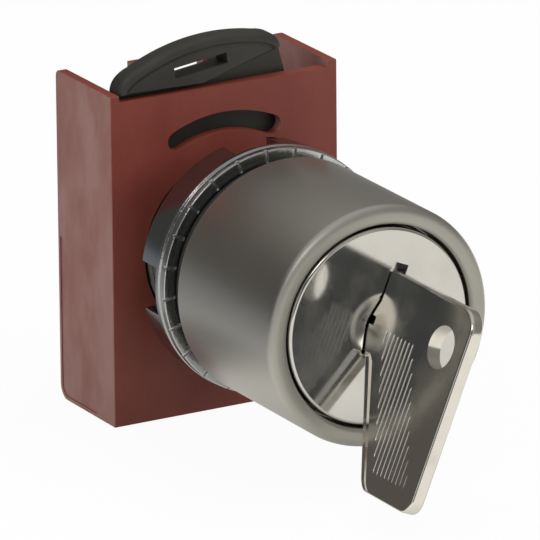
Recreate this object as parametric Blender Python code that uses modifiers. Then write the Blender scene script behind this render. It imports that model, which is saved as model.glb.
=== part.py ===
"""Key selector switch for a 22 mm panel hole, with its lock, its key and its rear holder.

Metres. X runs right, Z runs up and the front faces -Y. The origin is on the turning axis,
in the plane where the panel meets the gasket. Angles are clock angles seen from the front:
zero points up and positive turns to the right.
"""

import math

import bmesh
import bpy
from mathutils import Matrix

# Clearances
SEAT_GAP = 0.00015
RUN_GAP = 0.0002
CAM_GAP = 0.0003
THREAD_PLAY = 0.00025

# How far cutters pass a face and how deep joined pieces sink into one another
CUT_SPARE = 0.001
SINK = 0.0005

# Threaded neck, whose radius follows from the lock inside it
NECK_WALL = 0.00145
NECK_CHAMFER = 0.0004
LOCK_GROOVE_DEPTH = 0.00075
CIRCLIP_GROOVE_DEPTH = 0.0004
CIRCLIP_LAND = 0.0009

# Front barrel and its bezel
BARREL_SHOULDER = 0.0039
BARREL_FRONT = -0.0245
BEZEL_WIDTH = 0.00236
BEZEL_EDGE_ROUND = 0.0011
BEZEL_INNER_EDGE = 0.00025
SHELF_WIDTH = 0.00119
FLANGE_BORE_DEPTH = 0.0012

# Gasket and ring nut
GASKET_THICKNESS = 0.00205
GASKET_INSET = 0.001
NUT_WALL = 0.00415
NUT_LUG_STEP = 0.00025
NUT_FLANGE = 0.0025
NUT_LENGTH = 0.006
NUT_NOTCH_WIDTH = 0.006
NUT_NOTCHES = 4
NUT_CHAMFER = 0.0002
NUT_TURN = math.radians(-3)
SERRATIONS = 24
SERRATION_TURN = math.radians(-4)
SERRATION_WIDTH = 0.0005
SERRATION_DEPTH = 0.00035
SERRATION_LENGTH = 0.00145

# Rotor disc
DISC_INSET = 0.0003
DISC_GAP = 0.00033
DISC_THICKNESS = 0.0023
DISC_EDGE = 0.0004
DISH_RADIUS = 0.0048
DISH_DEPTH = 0.0016
INDEX_RADIUS = 0.0073
INDEX_WIDTH = 0.0023
INDEX_HEIGHT = 0.0012
INDEX_DEPTH = 0.0013

# Rotor seal
SEAL_THICKNESS = 0.00095
SEAL_CLEARANCE = 0.00019
SEAL_WIDTH = 0.0019

# Lock plug
PLUG_RADIUS = 0.0056
PLUG_FLANGE_STEP = 0.001
PLUG_END_PLAY = 0.0003
PLUG_END_WALL = 0.00205
TAIL_HALF = 0.0024
TAIL_NECK_RADIUS = 0.0018
TAIL_END_RADIUS = 0.0022
TAIL_END = 0.0015
CLIP_THICKNESS = 0.0006
CLIP_RADIUS = 0.0036
CLIP_MOUTH = math.radians(60)

# Wafers
WAFERS = 5
WAFER_FIRST = 0.00145
WAFER_PITCH = 0.0030
WAFER_THICKNESS = 0.0007
WAFER_WALL = 0.0006
WAFER_DROP = 0.0007
WAFER_GROOVE_SPARE = 0.00075

# Lock housing and clamp ring
HOUSING_REAR_STEP = 0.0004
CLAMP_WALL = 0.00135
CLAMP_LENGTH = 0.002
CLAMP_CLEARANCE = 0.0006
CLAMP_SLOT_WIDTH = 0.0014

# Key
KEY_THICKNESS = 0.0018
BLADE_HALF_HEIGHT = 0.0031
BLADE_NOSE = 0.00415
BLADE_TIP = 0.0018
BLADE_TIP_HALF_HEIGHT = 0.0009
CUT_DEPTHS = (0.0012, 0.0010, 0.0015, 0.0011, 0.0013)
CUT_FLAT = 0.0009
CUT_SLOPE = 0.8
BLADE_GROOVE_WIDTH = 0.0011
BLADE_GROOVE_DEPTH = 0.0004
BLADE_GROOVE_RUN_OUT = 0.0022
BOW_DEPTH = 0.0194
BOW_TOP = 0.0070
BOW_BOTTOM = 0.01785
BOW_TOP_ROUND = 0.0029
BOW_FRONT_ROUND = 0.0014
BOW_REAR_ROUND = 0.0008
BOW_SHOULDER = 0.0002
BOW_SHOULDER_DROP = 0.001
BOW_BOTTOM_DEPTH = 0.0106
BOW_EDGE = 0.00035
BLADE_INSET = 0.00005
RING_HOLE_RADIUS = 0.0026
RING_HOLE_FROM_FRONT = 0.0048
RING_HOLE_HEIGHT = 0.0015

# Switching cam
TURN = math.radians(45)
REST_TURN = math.radians(22.5)
HUB_STEP = 0.0001
HUB_LENGTH = 0.0046
CAM_CLEARANCE = 0.0007
CAM_THICKNESS = 0.002
STOP_WIDTH = 0.0014
STOP_HALF_ANGLE = math.radians(12)
STOP_REACH = 0.0018
STOP_PLAY = math.radians(1.5)
RAMP_RISE = 0.003
RAMP_BASE = 0.001
RAMP_SPARE = math.radians(12)
RAMP_WIDTH = 0.0024

# Plungers, their springs and their guide
PLUNGER_RADIUS = 0.0015
PLUNGER_REACH = 0.002
PLUNGER_NOSE = 0.0022
PLUNGER_RIDGE = 0.0005
COLLAR_THICKNESS = 0.001
SPRING_PLAY = 0.00024
SPRING_WIRE_RADIUS = 0.00026
SPRING_TURNS = 4
SPRING_SPACE = 0.0029
SPRING_SEAT_DEPTH = 0.001
SPRING_SEAT_PLAY = 0.00034
SPRING_SEAT_WALL = 0.00025
GUIDE_THICKNESS = 0.0028
CIRCLIP_THICKNESS = 0.0006
CIRCLIP_WIDTH = 0.0011
CIRCLIP_MOUTH = math.radians(50)

# Holder
HOLDER_BEFORE_NECK_END = 0.0087
HOLDER_DEPTH = 0.0137
HOLDER_PLATE = 0.0015
HOLDER_WALL = 0.0012
HOLDER_FLOOR_DROP = 0.00547
HOLDER_EDGE = 0.0003
HOLDER_FOOT_ROUND = 0.0018
HOLDER_HEAD_ROUND = 0.0006
HOLDER_EAR = 0.00085
ARC_SLOT_OFFSET = 0.00438
ARC_SLOT_WIDTH = 0.00245
ARC_SLOT_HALF_ANGLE = math.radians(25)
PLATE_BRIDGE = 0.003295
SIDE_PANEL_DEPTH = 0.00015
SIDE_PANEL_TOP = 0.0
SIDE_PANEL_SET_BACK = 0.0046
SIDE_PANEL_MARGIN = 0.0005
BAYS = 3
CROSSBAR_DROP = 0.0034
CROSSBAR_HEIGHT = 0.0018
CROSSBAR_DEPTH = 0.0036
REAR_INSET = 0.0001
FINGER_RISE = 0.00045
FINGER_WIDTH = 0.0021
FINGER_DEPTH = 0.0018
DIVIDER_WIDTH = 0.0012
DIVIDER_HEIGHT = 0.003
LATCH_WIDTH = 0.0056
LATCH_DEPTH = 0.0020
LATCH_FROM_REAR = 0.0026
HOOK_ANGLE = math.radians(38)
HOOK_WIDTH = 0.004
HOOK_BITE = 0.0008
HOOK_WALL = 0.0013

# Locking lever
LEVER_SWING = math.radians(7.4)
LEVER_PLATE = 0.0019
LEVER_RING_WALL = 0.0028
LEVER_RING_CLEARANCE = 0.0004
LEVER_CORNER_RISE = 0.002023
LEVER_CORNER_ROUND = 0.0011
LEVER_EDGE = 0.00035
LEVER_BACK_STEP = 0.00075
LEVER_BACK_INSET = 0.0001
THUMB_INSET = 0.0003
THUMB_OVERLAP = 0.0005
THUMB_CLEARANCE = 0.0008
THUMB_RISE = 0.0015
LEVER_SHOULDER_DROP = 0.0009
LEVER_WAIST = math.radians(69)
TOOL_SLOT_RISE = 0.003
TOOL_SLOT_LENGTH = 0.0072
TOOL_SLOT_HEIGHT = 0.00135
LOCK_LUGS = 3
LOCK_LUG_HALF_ANGLE = math.radians(8)
LOCK_LUG_FIRST = math.radians(60)

# Facets
FINE = 60
MEDIUM = 40
SMALL = 24

# Radii that follow from the key and the plug, from the axis outwards
KEYWAY_HALF_WIDTH = KEY_THICKNESS / 2 + SEAT_GAP
KEYWAY_HALF_HEIGHT = BLADE_HALF_HEIGHT + RUN_GAP
WAFER_RADIUS = PLUG_RADIUS - SEAT_GAP
WAFER_HALF_WIDTH = KEYWAY_HALF_WIDTH + SEAT_GAP + WAFER_WALL
PLUG_FLANGE_RADIUS = PLUG_RADIUS + PLUG_FLANGE_STEP
HUB_RADIUS = PLUG_RADIUS - HUB_STEP
HOUSING_BORE_RADIUS = PLUG_RADIUS + SEAT_GAP
HOUSING_GROOVE_RADIUS = WAFER_RADIUS + WAFER_DROP + WAFER_GROOVE_SPARE
STOP_INNER_RADIUS = HOUSING_BORE_RADIUS + SEAT_GAP
STOP_OUTER_RADIUS = STOP_INNER_RADIUS + STOP_WIDTH
CLAMP_INNER_RADIUS = STOP_OUTER_RADIUS + CLAMP_CLEARANCE
BORE_FIT = CLAMP_INNER_RADIUS + CLAMP_WALL
NECK_BORE_RADIUS = BORE_FIT + SEAT_GAP
NECK_RADIUS = NECK_BORE_RADIUS + NECK_WALL
CAM_RADIUS = NECK_BORE_RADIUS - CAM_CLEARANCE
SPRING_RADIUS = PLUNGER_RADIUS + SPRING_PLAY + SPRING_WIRE_RADIUS
SPRING_SEAT_RADIUS = SPRING_RADIUS + SPRING_WIRE_RADIUS + SPRING_SEAT_PLAY
COLLAR_RADIUS = SPRING_RADIUS + CAM_GAP
PLUNGER_OFFSET = BORE_FIT - SPRING_SEAT_WALL - SPRING_SEAT_RADIUS

# Radii that follow from the neck
HOLE_RADIUS = NECK_RADIUS + THREAD_PLAY
LOCK_GROOVE_RADIUS = NECK_RADIUS - LOCK_GROOVE_DEPTH
LOCK_LUG_RADIUS = LOCK_GROOVE_RADIUS + RUN_GAP
BARREL_RADIUS = NECK_RADIUS + BARREL_SHOULDER
BEZEL_BORE_RADIUS = BARREL_RADIUS - BEZEL_WIDTH
SHELF_RADIUS = BEZEL_BORE_RADIUS - SHELF_WIDTH
DISC_RADIUS = BEZEL_BORE_RADIUS - DISC_GAP
SEAL_OUTER_RADIUS = BEZEL_BORE_RADIUS - SEAL_CLEARANCE
SEAL_INNER_RADIUS = SEAL_OUTER_RADIUS - SEAL_WIDTH
GASKET_RADIUS = BARREL_RADIUS - GASKET_INSET
NUT_RADIUS = HOLE_RADIUS + NUT_WALL
NUT_LUG_RADIUS = NUT_RADIUS - NUT_LUG_STEP
SERRATION_INNER_RADIUS = NUT_RADIUS - SERRATION_LENGTH

# Places along the axis, from the front to the rear
DISC_FRONT = BARREL_FRONT + DISC_INSET
DISC_REAR = DISC_FRONT + DISC_THICKNESS
SHELF_Y = DISC_REAR + RUN_GAP + SEAL_THICKNESS + SEAT_GAP
PLUG_FRONT = DISC_REAR + SEAT_GAP
HOUSING_FRONT = SHELF_Y + SEAT_GAP
PLUG_FLANGE_REAR = HOUSING_FRONT - PLUG_END_PLAY
WAFER_FIRST_Y = HOUSING_FRONT + WAFER_FIRST
BLADE_FRONT = DISC_FRONT - SEAT_GAP
BLADE_REAR = WAFER_FIRST_Y + (WAFERS - 1) * WAFER_PITCH + BLADE_NOSE
BOW_FRONT = BLADE_FRONT - BOW_DEPTH
KEYWAY_REAR = BLADE_REAR + RUN_GAP
PLUG_REAR = KEYWAY_REAR + PLUG_END_WALL
HOUSING_REAR = PLUG_REAR - HOUSING_REAR_STEP
STOP_SLOT_DEPTH = STOP_REACH + RUN_GAP
BARREL_REAR = -GASKET_THICKNESS - SEAT_GAP
CAM_FRONT = PLUG_REAR + HUB_LENGTH
CAM_REAR = CAM_FRONT + CAM_THICKNESS
RAMP_TOP = CAM_REAR + RAMP_BASE + RAMP_RISE
PLUNGER_FRONT = RAMP_TOP + CAM_GAP
COLLAR_FRONT = PLUNGER_FRONT + PLUNGER_NOSE
COLLAR_REAR = COLLAR_FRONT + COLLAR_THICKNESS
GUIDE_FRONT = COLLAR_REAR + SPRING_SPACE
GUIDE_REAR = GUIDE_FRONT + GUIDE_THICKNESS
CIRCLIP_FRONT = GUIDE_REAR + SEAT_GAP
NECK_REAR = CIRCLIP_FRONT + CIRCLIP_THICKNESS + SEAT_GAP + CIRCLIP_LAND
PLUNGER_REAR = NECK_REAR + PLUNGER_REACH
HOLDER_FRONT = NECK_REAR - HOLDER_BEFORE_NECK_END
PLATE_REAR = HOLDER_FRONT + HOLDER_PLATE
HOLDER_REAR = HOLDER_FRONT + HOLDER_DEPTH
SIDE_PANEL_FRONT = HOLDER_FRONT + SIDE_PANEL_SET_BACK
LEVER_FRONT = PLATE_REAR + RUN_GAP
LEVER_REAR = LEVER_FRONT + LEVER_PLATE
THUMB_FRONT = HOLDER_FRONT + THUMB_INSET
THUMB_REAR = LEVER_FRONT + THUMB_OVERLAP
THUMB_THICKNESS = THUMB_REAR - THUMB_FRONT

# Widths and heights of the holder and its lever
LEVER_RING_RADIUS = HOLE_RADIUS + LEVER_RING_WALL
INNER_HALF_WIDTH = LEVER_RING_RADIUS + LEVER_RING_CLEARANCE
HOLDER_HALF_WIDTH = INNER_HALF_WIDTH + HOLDER_WALL
HOLDER_BOTTOM = -LEVER_RING_RADIUS - HOLDER_FLOOR_DROP - HOLDER_WALL
ARC_SLOT_RADIUS = HOLE_RADIUS + ARC_SLOT_OFFSET
PLATE_TOP = ARC_SLOT_RADIUS + ARC_SLOT_WIDTH / 2 + PLATE_BRIDGE
HOLDER_TOP = PLATE_TOP + HOLDER_EAR
CROSSBAR_TOP = PLATE_TOP - CROSSBAR_DROP
FINGER_TOP = PLATE_TOP + FINGER_RISE
BAY_PITCH = 2 * INNER_HALF_WIDTH / BAYS
LEVER_REACH = INNER_HALF_WIDTH - RUN_GAP
LEVER_RADIUS = math.hypot(LEVER_REACH, PLATE_TOP + LEVER_CORNER_RISE)
LEVER_BACK_RADIUS = LEVER_RADIUS - LEVER_BACK_STEP
LEVER_BACK_HALF_ANGLE = math.asin((LEVER_REACH - LEVER_BACK_INSET) / LEVER_BACK_RADIUS) - LEVER_SWING
LEVER_SHOULDER = LEVER_RING_RADIUS - LEVER_SHOULDER_DROP
THUMB_HALF_ANGLE = math.asin(LEVER_REACH / LEVER_RADIUS) - LEVER_SWING
THUMB_BOTTOM = PLATE_TOP + THUMB_CLEARANCE
TOOL_SLOT_RADIUS = PLATE_TOP + TOOL_SLOT_RISE


def new_collection(name):
    made = bpy.data.collections.new(name)
    bpy.context.scene.collection.children.link(made)
    return made


def make_material(name, colour, roughness, metallic=0.0):
    made = bpy.data.materials.new(name)
    made.use_nodes = True
    shader = made.node_tree.nodes["Principled BSDF"]
    shader.inputs["Base Color"].default_value = (*colour, 1.0)
    shader.inputs["Roughness"].default_value = roughness
    shader.inputs["Metallic"].default_value = metallic
    made.diffuse_color = (*colour, 1.0)
    return made


def polar(radius, clock):
    """X and Z of a point at a clock angle seen from the front."""
    return radius * math.sin(clock), radius * math.cos(clock)


def arc(centre, radius, start, end, steps):
    """Points of an arc from one plain angle to another."""
    turn = (end - start) / steps
    return [
        (centre[0] + radius * math.cos(start + turn * i), centre[1] + radius * math.sin(start + turn * i))
        for i in range(steps + 1)
    ]


def add_object(name, mesh, collection):
    made = bpy.data.objects.new(name, mesh)
    collection.objects.link(made)
    return made


def evaluated_mesh(obj):
    graph = bpy.context.evaluated_depsgraph_get()
    return bpy.data.meshes.new_from_object(obj.evaluated_get(graph))


def turned(name, profile, segments, collection, closed=True):
    """A piece turned about the Y axis, from (radius, y) points that run down its outer side."""
    mesh = bpy.data.meshes.new(name)
    count = len(profile)
    edges = [(i, i + 1) for i in range(count - 1)]
    if closed:
        edges.append((count - 1, 0))
    mesh.from_pydata([(radius, y, 0) for radius, y in profile], edges, [])
    made = add_object(name, mesh, collection)
    screw = made.modifiers.new("Turn", "SCREW")
    screw.axis = "Y"
    screw.steps = segments
    screw.render_steps = segments
    screw.use_merge_vertices = True
    screw.merge_threshold = 0.00001
    return made


def tube(name, inner, outer, front, rear, segments, collection):
    return turned(name, [(outer, rear), (outer, front), (inner, front), (inner, rear)], segments, collection)


def rod(name, radius, front, rear, segments, collection, place=(0.0, 0.0), chamfer=0.0):
    """A solid round bar along Y, centred on an (x, z) place."""
    profile = [(0, rear), (radius, rear), (radius, front), (0, front)]
    if chamfer:
        profile[1:2] = [(radius - chamfer, rear), (radius, rear - chamfer)]
    made = turned(name, profile, segments, collection, closed=False)
    made.location = (place[0], 0, place[1])
    return made


def box(name, low, high, collection, edge=0.0):
    """A block between two corners, with its edges rounded where that is asked."""
    bpy.ops.mesh.primitive_cube_add(size=1)
    made = bpy.context.object
    made.name = name
    made.data.name = name
    for old in made.users_collection:
        old.objects.unlink(made)
    collection.objects.link(made)
    size = [b - a for a, b in zip(low, high)]
    made.data.transform(Matrix.Diagonal((*size, 1)))
    made.location = [(a + b) / 2 for a, b in zip(low, high)]
    if edge:
        round_edges(made, edge)
    return made


def round_edges(obj, width, segments=1, angle=math.radians(40)):
    bevel = obj.modifiers.new("Edge", "BEVEL")
    bevel.width = width
    bevel.segments = segments
    bevel.limit_method = "ANGLE"
    bevel.angle_limit = angle
    return bevel


FACING_FRONT = Matrix(((1, 0, 0, 0), (0, 0, -1, 0), (0, 1, 0, 0), (0, 0, 0, 1)))
FACING_SIDE = Matrix(((0, 0, 1, 0), (1, 0, 0, 0), (0, 1, 0, 0), (0, 0, 0, 1)))


def flat_plate(name, outlines, thickness, place, facing, collection, edge=0.0):
    """A flat outline with thickness, and any holes after it: (x, z) points facing the front, (y, z) the side."""
    curve = bpy.data.curves.new(name, "CURVE")
    curve.dimensions = "2D"
    curve.fill_mode = "BOTH"
    curve.extrude = thickness / 2
    for outline in outlines:
        spline = curve.splines.new("POLY")
        spline.points.add(len(outline) - 1)
        for point, (across, up) in zip(spline.points, outline):
            point.co = (across, up, 0, 1)
        spline.use_cyclic_u = True
    guide = add_object(name + "_outline", curve, collection)
    mesh = evaluated_mesh(guide)
    bpy.data.objects.remove(guide)
    work = bmesh.new()
    work.from_mesh(mesh)
    bmesh.ops.remove_doubles(work, verts=work.verts, dist=0.000001)
    bmesh.ops.recalc_face_normals(work, faces=work.faces)
    work.transform(facing)
    work.to_mesh(mesh)
    work.free()
    made = add_object(name, mesh, collection)
    made.location = place
    if edge:
        round_edges(made, edge, angle=math.radians(50))
    return made


def swept(name, profile, start, end, steps, collection, rise=0.0):
    """A (radius, y) section carried between two clock angles, climbing along Y where a rise is given."""
    work = bmesh.new()
    work.faces.new([work.verts.new((radius, y, 0)) for radius, y in profile])
    bmesh.ops.rotate(work, verts=work.verts, cent=(0, 0, 0),
                     matrix=Matrix.Rotation(start - math.pi / 2, 3, "Y"))
    bmesh.ops.spin(work, geom=work.verts[:] + work.edges[:] + work.faces[:], cent=(0, 0, 0),
                   axis=(0, 1, 0), dvec=(0, rise / steps, 0), angle=end - start, steps=steps)
    bmesh.ops.recalc_face_normals(work, faces=work.faces)
    mesh = bpy.data.meshes.new(name)
    work.to_mesh(mesh)
    work.free()
    return add_object(name, mesh, collection)


def sector(name, inner, outer, front, rear, start, end, steps, collection, rise=0.0):
    profile = [(inner, front), (outer, front), (outer, rear), (inner, rear)]
    return swept(name, profile, start, end, steps, collection, rise)


def combine(obj, other, operation):
    made = obj.modifiers.new(operation.title(), "BOOLEAN")
    made.operation = operation
    made.object = other
    made.solver = "EXACT"
    other.hide_render = True
    other.display_type = "WIRE"


def cut(obj, *cutters):
    for cutter in cutters:
        combine(obj, cutter, "DIFFERENCE")


def fuse(obj, *others):
    for other in others:
        combine(obj, other, "UNION")


def joined_cutter(name, objects, collection):
    """One cutter mesh from several that don't touch each other."""
    work = bmesh.new()
    for obj in objects:
        mesh = evaluated_mesh(obj)
        mesh.transform(obj.matrix_basis)
        work.from_mesh(mesh)
        bpy.data.objects.remove(obj)
    mesh = bpy.data.meshes.new(name)
    work.to_mesh(mesh)
    work.free()
    made = add_object(name, mesh, collection)
    made.hide_render = True
    made.display_type = "WIRE"
    return made


def finish(obj, material, sharp=math.radians(32)):
    """Keep the shape that the modifiers make, give it its material and shade its round faces smooth."""
    bpy.context.view_layer.update()
    mesh = evaluated_mesh(obj)
    mesh.name = obj.name
    obj.modifiers.clear()
    obj.data = mesh
    mesh.materials.clear()
    mesh.materials.append(material)
    mesh.shade_smooth()
    mesh.set_sharp_from_angle(angle=sharp)
    return obj


def carrier(name, collection, turn=0.0, parent=None):
    """An empty on the operator's axis that carries the pieces of one moving body."""
    made = bpy.data.objects.new(name, None)
    made.empty_display_size = 0.005
    made.rotation_euler = (0, turn, 0)
    made.parent = parent
    collection.objects.link(made)
    return made


def make_operator_body(parts, cutters, metal):
    """The cast barrel with its bezel and the neck that passes through the panel."""
    shelf = SHELF_Y
    flange_radius = SHELF_RADIUS
    groove_front = LEVER_FRONT - RUN_GAP
    groove_rear = LEVER_REAR + RUN_GAP
    clip_front = CIRCLIP_FRONT - SEAT_GAP
    clip_rear = clip_front + CIRCLIP_THICKNESS + 2 * SEAT_GAP
    clip_radius = NECK_BORE_RADIUS + CIRCLIP_GROOVE_DEPTH
    inner_edge = BEZEL_INNER_EDGE
    bezel_round = arc(
        (BARREL_RADIUS - BEZEL_EDGE_ROUND, BARREL_FRONT + BEZEL_EDGE_ROUND),
        BEZEL_EDGE_ROUND, 0, -math.pi / 2, 4)
    profile = [
        (NECK_BORE_RADIUS, NECK_REAR),
        (NECK_RADIUS - NECK_CHAMFER, NECK_REAR),
        (NECK_RADIUS, NECK_REAR - NECK_CHAMFER),
        (NECK_RADIUS, groove_rear),
        (LOCK_GROOVE_RADIUS, groove_rear),
        (LOCK_GROOVE_RADIUS, groove_front),
        (NECK_RADIUS, groove_front),
        (NECK_RADIUS, BARREL_REAR),
        (BARREL_RADIUS - NUT_CHAMFER, BARREL_REAR),
        (BARREL_RADIUS, BARREL_REAR - NUT_CHAMFER),
        *bezel_round,
        (BEZEL_BORE_RADIUS + inner_edge, BARREL_FRONT),
        (BEZEL_BORE_RADIUS, BARREL_FRONT + inner_edge),
        (BEZEL_BORE_RADIUS, shelf),
        (flange_radius, shelf),
        (flange_radius, shelf + FLANGE_BORE_DEPTH),
        (NECK_BORE_RADIUS, shelf + FLANGE_BORE_DEPTH),
        (NECK_BORE_RADIUS, clip_front),
        (clip_radius, clip_front),
        (clip_radius, clip_rear),
        (NECK_BORE_RADIUS, clip_rear),
    ]
    body = turned("operator_body", profile, FINE, parts)
    entries = []
    for i in range(LOCK_LUGS):
        middle = LOCK_LUG_FIRST + LEVER_SWING + i * math.tau / LOCK_LUGS
        half = LOCK_LUG_HALF_ANGLE + math.radians(2)
        entries.append(sector(
            f"neck_entry_{i}", LOCK_GROOVE_RADIUS, NECK_RADIUS + CUT_SPARE, groove_rear - SINK / 5,
            NECK_REAR + CUT_SPARE, middle - half, middle + half, 4, cutters))
    cut(body, joined_cutter("neck_entries", entries, cutters))
    return finish(body, metal)


def make_gasket(parts, rubber):
    return finish(tube("sealing_gasket", HOLE_RADIUS, GASKET_RADIUS,
                       BARREL_REAR + SEAT_GAP, 0.0, MEDIUM, parts), rubber)


def make_ring_nut(parts, cutters, chrome):
    """The round nut: a serrated flange in front and spanner lugs behind."""
    front = RUN_GAP
    flange_rear = front + NUT_FLANGE
    rear = front + NUT_LENGTH
    bore = HOLE_RADIUS
    profile = [
        (bore, rear),
        (NUT_LUG_RADIUS - NUT_CHAMFER, rear),
        (NUT_LUG_RADIUS, rear - NUT_CHAMFER),
        (NUT_LUG_RADIUS, flange_rear),
        (NUT_RADIUS, flange_rear - NUT_CHAMFER),
        (NUT_RADIUS, front + NUT_CHAMFER),
        (NUT_RADIUS - NUT_CHAMFER, front),
        (bore, front),
    ]
    nut = turned("ring_nut", profile, FINE, parts)
    reach = NUT_RADIUS + CUT_SPARE
    notches = []
    for i in range(NUT_NOTCHES):
        notch = box(f"nut_notch_{i}", (bore - CUT_SPARE, flange_rear, -NUT_NOTCH_WIDTH / 2),
                    (reach, rear + CUT_SPARE, NUT_NOTCH_WIDTH / 2), cutters)
        notch.data.transform(Matrix.Translation(notch.location))
        notch.location = (0, 0, 0)
        notch.rotation_euler.y = NUT_TURN + i * math.tau / NUT_NOTCHES
        notches.append(notch)
    grooves = []
    for i in range(SERRATIONS):
        groove = box(f"nut_groove_{i}", (SERRATION_INNER_RADIUS, front - CUT_SPARE, -SERRATION_WIDTH / 2),
                     (reach, front + SERRATION_DEPTH, SERRATION_WIDTH / 2), cutters)
        groove.data.transform(Matrix.Translation(groove.location))
        groove.location = (0, 0, 0)
        groove.rotation_euler.y = SERRATION_TURN + i * math.tau / SERRATIONS
        grooves.append(groove)
    cut(nut, joined_cutter("nut_notches", notches, cutters), joined_cutter("nut_grooves", grooves, cutters))
    return finish(nut, chrome)


def make_rotor_seal(parts, rubber):
    front = DISC_REAR + RUN_GAP
    rear = SHELF_Y - SEAT_GAP
    middle = (front + rear) / 2
    half = (rear - front) / 2
    round_out = arc((SEAL_OUTER_RADIUS - half, middle), half, math.pi / 2, -math.pi / 2, 3)
    round_in = arc((SEAL_INNER_RADIUS + half, middle), half, -math.pi / 2, -math.pi * 1.5, 3)
    return finish(turned("rotor_seal", round_out + round_in, MEDIUM, parts), rubber)


def keyway_cutter(name, front, rear, cutters):
    return box(name, (-KEYWAY_HALF_WIDTH, front, -KEYWAY_HALF_HEIGHT),
               (KEYWAY_HALF_WIDTH, rear, KEYWAY_HALF_HEIGHT), cutters)


def make_rotor_disc(parts, cutters, polished):
    """The disc that shows the key's position, with a dish round the keyway."""
    rings = 5
    dish = [
        (DISH_RADIUS * i / rings, DISC_FRONT + DISH_DEPTH * (1 + math.cos(math.pi * i / rings)) / 2)
        for i in range(rings, -1, -1)
    ]
    profile = [
        (0, DISC_REAR),
        (DISC_RADIUS - DISC_EDGE, DISC_REAR),
        (DISC_RADIUS, DISC_REAR - DISC_EDGE),
        (DISC_RADIUS, DISC_FRONT + DISC_EDGE),
        (DISC_RADIUS - DISC_EDGE, DISC_FRONT),
        *dish,
    ]
    disc = turned("rotor_disc", profile, FINE, parts, closed=False)
    index = box("index_pocket",
                (-INDEX_WIDTH / 2, DISC_FRONT - CUT_SPARE, INDEX_RADIUS - INDEX_HEIGHT / 2),
                (INDEX_WIDTH / 2, DISC_FRONT + INDEX_DEPTH, INDEX_RADIUS + INDEX_HEIGHT / 2), cutters)
    cut(disc, keyway_cutter("disc_keyway", DISC_FRONT - CUT_SPARE, DISC_REAR + CUT_SPARE, cutters), index)
    return finish(disc, polished)


def wafer_y(i):
    return WAFER_FIRST_Y + i * WAFER_PITCH


def make_lock_housing(parts, cutters, zinc):
    """The fixed sleeve of the lock, with the grooves that the wafers drop into."""
    bore = HOUSING_BORE_RADIUS
    flange_radius = SHELF_RADIUS - SEAT_GAP
    flange_rear = SHELF_Y + FLANGE_BORE_DEPTH - SEAT_GAP
    profile = [
        (bore, HOUSING_REAR),
        (BORE_FIT, HOUSING_REAR),
        (BORE_FIT, flange_rear),
        (flange_radius, flange_rear),
        (flange_radius, HOUSING_FRONT),
        (bore, HOUSING_FRONT),
    ]
    housing = turned("lock_housing", profile, MEDIUM, parts)
    half_width = WAFER_HALF_WIDTH + SEAT_GAP
    for side, turn in (("right", REST_TURN), ("left", REST_TURN - TURN)):
        groove = box(f"wafer_groove_{side}",
                     (-half_width, wafer_y(0) - WAFER_THICKNESS, -HOUSING_GROOVE_RADIUS),
                     (half_width, wafer_y(WAFERS - 1) + WAFER_THICKNESS, HOUSING_GROOVE_RADIUS), cutters)
        groove.rotation_euler.y = turn
        cut(housing, groove)
    reach = TURN / 2 + STOP_HALF_ANGLE + STOP_PLAY
    stop = sector("stop_slot", bore - CUT_SPARE, STOP_OUTER_RADIUS + RUN_GAP,
                  HOUSING_REAR - STOP_SLOT_DEPTH, HOUSING_REAR + CUT_SPARE,
                  math.pi - reach, math.pi + reach, 10, cutters)
    cut(housing, stop)
    return finish(housing, zinc)


def make_clamp_ring(parts, cutters, steel):
    """The ring that holds the lock housing in the neck, with two slots for a pin spanner."""
    front = HOUSING_REAR + SEAT_GAP
    rear = front + CLAMP_LENGTH
    ring = tube("clamp_ring", CLAMP_INNER_RADIUS, BORE_FIT, front, rear, MEDIUM, parts)
    half = CLAMP_SLOT_WIDTH / 2
    reach = BORE_FIT + CUT_SPARE
    slot = box("clamp_slot", (-reach, rear - CLAMP_LENGTH / 2, -half), (reach, rear + CUT_SPARE, half), cutters)
    cut(ring, slot)
    return finish(ring, steel)


def make_lock_plug(parts, cutters, brass):
    """The turning plug: keyway, wafer slots and a square tail that drives the cam."""
    clip_seat = CAM_REAR + SEAT_GAP
    clip_seat_rear = clip_seat + CLIP_THICKNESS + 2 * SEAT_GAP
    tail_end = clip_seat_rear + TAIL_END
    profile = [
        (0, PLUG_REAR),
        (PLUG_RADIUS, PLUG_REAR),
        (PLUG_RADIUS, PLUG_FLANGE_REAR),
        (PLUG_FLANGE_RADIUS, PLUG_FLANGE_REAR),
        (PLUG_FLANGE_RADIUS, PLUG_FRONT),
        (0, PLUG_FRONT),
    ]
    plug = turned("lock_plug", profile, MEDIUM, parts, closed=False)
    tail = box("plug_tail", (-TAIL_HALF, PLUG_REAR - SINK, -TAIL_HALF),
               (TAIL_HALF, clip_seat, TAIL_HALF), cutters)
    end = turned("plug_tail_end", [
        (0, tail_end),
        (TAIL_END_RADIUS - SEAT_GAP, tail_end),
        (TAIL_END_RADIUS, tail_end - SEAT_GAP),
        (TAIL_END_RADIUS, clip_seat_rear),
        (TAIL_NECK_RADIUS, clip_seat_rear),
        (TAIL_NECK_RADIUS, clip_seat - SINK),
        (0, clip_seat - SINK),
    ], SMALL, cutters, closed=False)
    fuse(plug, tail, end)
    half_width = WAFER_HALF_WIDTH + SEAT_GAP
    half_slot = WAFER_THICKNESS / 2 + SEAT_GAP
    slots = [
        box(f"wafer_slot_{i}", (-half_width, wafer_y(i) - half_slot, -PLUG_FLANGE_RADIUS),
            (half_width, wafer_y(i) + half_slot, PLUG_FLANGE_RADIUS), cutters)
        for i in range(WAFERS)
    ]
    cut(plug, keyway_cutter("plug_keyway", PLUG_FRONT - CUT_SPARE, KEYWAY_REAR, cutters),
        joined_cutter("wafer_slots", slots, cutters))
    return finish(plug, brass)


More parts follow.
